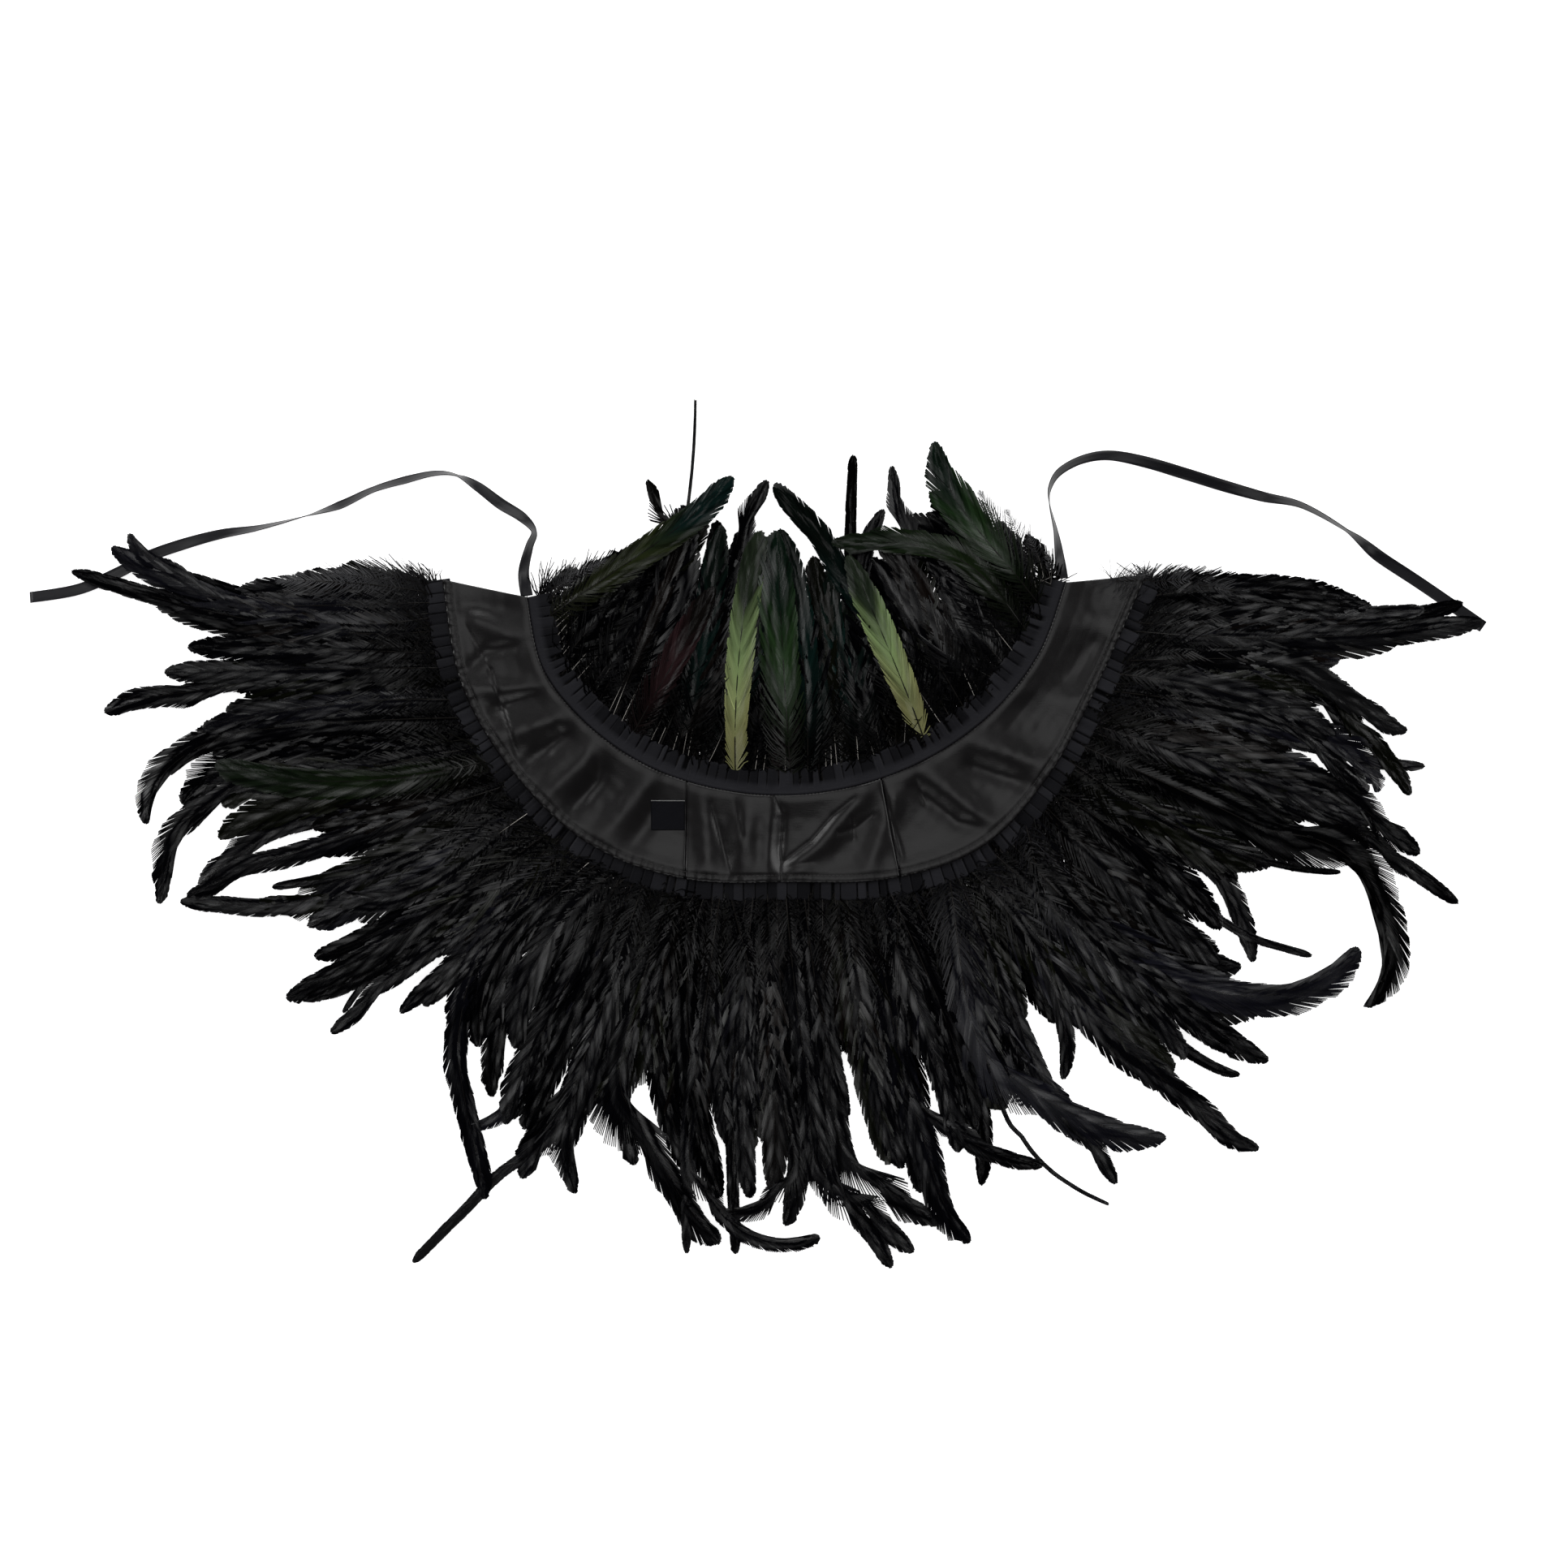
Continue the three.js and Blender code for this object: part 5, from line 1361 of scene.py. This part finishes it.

# %% [markdown]
# ### The feathers' finish
# The vane's colour comes along from the quill line. Every feather is lighter or darker by its own share,
# slow cloudy patches of painted sheen lie over them all, and barbs differ a little from each other. A real
# vane shines in long silky streaks and is dead black between them, so a noise that is stretched along the
# feather mixes the gloss with the matt shader, and down has almost no gloss at all. The shaft is dark horn,
# and pale on some feathers near the quill.

# %% Make the feather finish
SILK_ALONG, SILK_ACROSS = 24, 2.6
DARK_HORN, PALE_HORN = (0.012, 0.011, 0.010, 1), (0.52, 0.49, 0.45, 1)
BARB_GRAIN = 0.00006


def plume_finish(name, painted_sheen, dullness):
    """A feather's finish: the first number is how strong the cloudy patches of painted sheen are, dullness how
    much of it is matt.
    """
    made, board, shader = finish(name)
    place = place_on(board)
    slow = noise(board, place, 30, 2)
    streak = own(board, "bunch_luck") * 0.25 + own(board, "luck") * 0.75
    each = white(board, own(board, "seed"))
    # The slow noise lightens and darkens the colour in cloudy patches: painted sheen.
    gain = (0.85 + streak * 0.12 + (slow - 0.4) * painted_sheen) * (0.5 + each * 1.1)
    horn = board.colours(own(board, "pale"), DARK_HORN, PALE_HORN)
    shade = board.colours(own(board, "shaft"), board.scaled(own(board, "plume", "Color"), gain), horn)
    across = own(board, "out") * own(board, "hand") * SILK_ACROSS
    lengthwise = board.node("ShaderNodeCombineXYZ", None, {
        "X": own(board, "run") * SILK_ALONG, "Y": across, "Z": own(board, "seed") * 0.37,
    })
    silk = noise(board, lengthwise, 1.0, 2)
    fine = noise(board, place, 900, 2)
    set_shader(
        board, shader,
        Base_Color=shade,
        Roughness=0.22 + streak * 0.12,
        Specular_IOR_Level=0.85,
        Normal=bump(board, fine, BARB_GRAIN),
    )
    between_streaks = dullness - (silk - 0.5) * 3.6 - (streak - 0.5) * 0.1 - (each - 0.5) * 0.5
    dull = board.maths("MAXIMUM", own(board, "downy") * 0.95, between_streaks)
    matt(board, shader, board.maths("MULTIPLY", dull, 1 - own(board, "pale"), clamp=True), shade)
    return made


plume_finishes = {
    "hem": plume_finish("hem_plume", 1.2, 0.76),
    "collar": plume_finish("collar_plume", 0.8, 0.84),
}
print("feather finishes:", [m.name for m in plume_finishes.values()])

# %% [markdown]
# ### Growing them
# The tree runs once for each row of each trim and panel, on a carrier that holds the bare lines. What it
# made is copied out as a plain mesh, because the export wants meshes without live trees. Attributes that
# only the tree needed are dropped, and the ones that the finish reads are kept.


# %% Grow the feathers
def run_tree(name, mesh, tree, material):
    """Runs a tree on a mesh and keeps the result as a plain piece."""
    carrier = bpy.data.objects.new(f"{name}_carrier", mesh)
    bpy.context.scene.collection.objects.link(carrier)
    modifier = carrier.modifiers.new("tree", "NODES")
    modifier.node_group = tree
    sockets = {s.name: s.identifier for s in tree.interface.items_tree if s.in_out == "INPUT"}
    modifier[sockets["Finish"]] = material
    bpy.context.view_layer.update()
    made = bpy.data.meshes.new_from_object(carrier.evaluated_get(bpy.context.evaluated_depsgraph_get()))
    carrier.modifiers.remove(modifier)
    bpy.data.objects.remove(carrier)
    made.name = name
    made.materials.clear()
    made.materials.append(material)
    piece = bpy.data.objects.new(name, made)
    bpy.context.scene.collection.objects.link(piece)
    return piece


KEPT = {"plume", "luck", "bunch_luck", "downy", "pale", "shaft", "out", "run", "hand", "seed"}
for trim_name, feathers in trims.items():
    for panel in panels:
        low, high = panel[TRIMS[trim_name]["side"]]
        for row, row_name in enumerate(("under", "top")):
            held = [f for f in feathers if f["row"] == row and low <= f["place"] < high]
            ending = f"{row_name}_{panel['name']}"
            mesh = quill_mesh(f"quills_{trim_name}_{ending}", trim_name, held)
            piece = run_tree(f"{trim_name}_plumes_{ending}", mesh, feather_growth, plume_finishes[trim_name])
            for layer in [a.name for a in piece.data.attributes if not a.is_internal and not a.is_required]:
                if layer not in KEPT:
                    piece.data.attributes.remove(piece.data.attributes[layer])
            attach(piece, "root")
            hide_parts(f"{trim_name}_{ending}")
            print(piece.name, len(held), "feathers,", len(piece.data.polygons), "faces")

# %% [markdown]
# ## The label
# A small woven label is sewn in beside the seam of the back. It is left blank: near-black damask with a
# faint woven border and one pale thread along its top. It follows the lining that it lies on.

# %% Make the label
LABEL = {"left": 802, "right": 844, "top": 985, "bottom": 1023}
LABEL_THICK, LABEL_LIFT, LABEL_RIM = 0.35 * MM, 0.7 * MM, 0.25 * MM


def label_finish():
    """Near-black weave with a darker border and one pale thread."""
    made, board, shader = finish("label_weave")
    across, down = own(board, "across"), own(board, "down")
    place = place_on(board)
    weave = board.maths("SINE", across * 400) * board.maths("SINE", down * 330)
    line = board.maths("LESS_THAN", board.maths("ABSOLUTE", down - 0.04), 0.012)
    from_sides, from_ends = board.maths("MINIMUM", across, 1 - across), board.maths("MINIMUM", down, 1 - down)
    inset = board.maths("MINIMUM", from_sides, from_ends)
    border = board.maths("LESS_THAN", inset, 0.035)
    base = board.colours(weave * 0.5 + 0.5, (0.004, 0.004, 0.006, 1), (0.007, 0.007, 0.010, 1))
    base = board.colours(border * 0.7, base, (0.002, 0.002, 0.003, 1))
    thread = board.colours(noise(board, place, 900, 1), (0.16, 0.16, 0.16, 1), (0.36, 0.36, 0.35, 1))
    set_shader(
        board, shader,
        Base_Color=board.colours(line, base, thread),
        Roughness=0.75,
        Specular_IOR_Level=0.1,
        Normal=bump(board, weave, 0.00008),
    )
    return made


across, down = np.meshgrid(np.linspace(0, 1, 34), np.linspace(0, 1, 30), indexing="ij")
plan = on_plan(np.stack([
    LABEL["left"] + across * (LABEL["right"] - LABEL["left"]),
    LABEL["top"] + down * (LABEL["bottom"] - LABEL["top"]),
], axis=-1))
height, _, _ = lining_height(plan)
rim = np.minimum(np.minimum(across, 1 - across), np.minimum(down, 1 - down))
height = height + LABEL_LIFT - LABEL_RIM * np.exp(-((rim / 0.03) ** 2))
points = np.concatenate([plan, height[..., None]], axis=-1)
label = cloth_piece("woven_label", points, label_finish(), LABEL_THICK)
for key, values in (("across", across), ("down", down)):
    layer = label.data.attributes.new(key, "FLOAT", "POINT")
    layer.data.foreach_set("value", values.astype(np.float32).ravel())
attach(label, "root")
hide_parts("label")
print("label", [round(v * 1000) for v in label.dimensions])

# %% [markdown]
# ## Stitches
# A row of machine stitches runs inside the lining's hem, in the groove that its thread has pulled. Geometry
# Nodes sets them along the line: one short piece of thread, repeated at even steps and turned with the
# line.

# %% Sew the stitches
THREAD_SINK = 0.42 * MM


def stitch_tree():
    """The tree that sets short threads along a line."""
    tree, board, given = new_tree("stitches_along_a_line", [
        ("Step", "Float", 2.6 * MM), ("Length", "Float", 1.9 * MM), ("Thickness", "Float", 0.16 * MM),
        ("Finish", "Material", None),
    ])
    curves = board.node("GeometryNodeMeshToCurve", None, {"Mesh": given})
    dots = points_along(board, curves, given.other("Step"))
    round_thread = {"Vertices": 5, "Side Segments": 3, "Radius": 1.0, "Depth": 1.0}
    thread = board.node("GeometryNodeMeshCylinder", None, round_thread)
    size = board.node("ShaderNodeCombineXYZ", None, {
        "X": given.other("Thickness"), "Y": given.other("Thickness"), "Z": given.other("Length"),
    })
    sewn = board.node("GeometryNodeInstanceOnPoints", None, {
        "Points": dots, "Instance": thread, "Rotation": dots.other("Rotation"), "Scale": size,
    })
    end_tree(board, sewn, given.other("Finish"))
    return tree


thread_finish, board, shader = finish("thread")
fibres = noise(board, place_on(board), 700, 1)
thread_colour = board.colours(fibres, (0.012, 0.011, 0.011, 1), (0.035, 0.032, 0.032, 1))
set_shader(board, shader, Base_Color=thread_colour, Roughness=0.6)
line = hem_edge.at(np.linspace(0.004, 0.996, 900), -STITCHED_AT)
height, _, _ = lining_height(line)
mesh = bpy.data.meshes.new("stitch_line")
edges = [(k, k + 1) for k in range(len(line) - 1)]
mesh.from_pydata(np.column_stack([line, height - THREAD_SINK]).tolist(), edges, [])
stitches = run_tree("hem_stitches", mesh, stitch_tree(), thread_finish)
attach(stitches, "root")
print("stitches:", len(stitches.data.polygons), "faces")

# %% [markdown]
# ## Floor and light
# The cape lies on a plain pale floor. Satin and feathers show their shape by what they mirror. Seen from
# above, what lies flat mirrors a soft ceiling panel, what slopes away from it goes dark, and the steepest
# folds and barbs pick up the four large panels at the sides. A lamp is a large square that looks at the
# cape's middle.


# %% Light the scene
def floor_finish():
    """A plain pale floor that also glows by itself, so that it stays nearly white between the feathers."""
    made, board, shader = finish("pale_floor")
    cloudy = noise(board, place_on(board), 3, 2)
    shade = board.colours(cloudy, (0.93, 0.93, 0.93, 1), (0.95, 0.95, 0.95, 1))
    set_shader(
        board, shader,
        Base_Color=shade,
        Roughness=0.9,
        Specular_IOR_Level=0.1,
        Emission_Color=(1, 1, 1, 1),
        Emission_Strength=0.85,
    )
    return made


FLOOR_HALF = 6.0
flat = np.array([(-1, -1, 0), (1, -1, 0), (1, 1, 0), (-1, 1, 0)], float) * FLOOR_HALF - (0, 0, 0.3 * MM)
floor = new_piece("floor", flat, [(0, 1, 2, 3)], floor_finish())
floor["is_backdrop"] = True

LIGHTS = {
    "ceiling": ((0.0, 0.35, 3.0), 1.5, 8),
    "window_left": ((-2.2, 1.0, 1.5), 1.6, 32),
    "window_right": ((2.3, 0.6, 1.4), 1.6, 24),
    "window_behind": ((0.2, 2.6, 1.7), 1.8, 30),
    "window_front": ((-0.4, -2.6, 1.6), 1.6, 14),
}
WORLD_STRENGTH = 0.03
for name, (place, size, power) in LIGHTS.items():
    lamp = bpy.data.lights.new(name, "AREA")
    lamp.size, lamp.energy = size, power
    holder = bpy.data.objects.new(name, lamp)
    bpy.context.scene.collection.objects.link(holder)
    holder.location = place
    toward = -np.array(place) / np.linalg.norm(place)
    holder.rotation_euler = (math.acos(-toward[2]), 0, math.atan2(toward[1], toward[0]) - math.pi / 2)

world = bpy.data.worlds.new("studio")
world.use_nodes = True
background = world.node_tree.nodes["Background"]
background.inputs["Color"].default_value = (1, 1, 1, 1)
background.inputs["Strength"].default_value = WORLD_STRENGTH
bpy.context.scene.world = world
print("lights:", list(LIGHTS))

# %% [markdown]
# ## Sizes
# The box of the dressed cape, without the floor and the hidden solids, is printed, so that it can be seen how
# far the feathers and the cloth reach.

# %% Write the sizes and finish
low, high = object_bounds()
print("visual box", list(low), list(high))
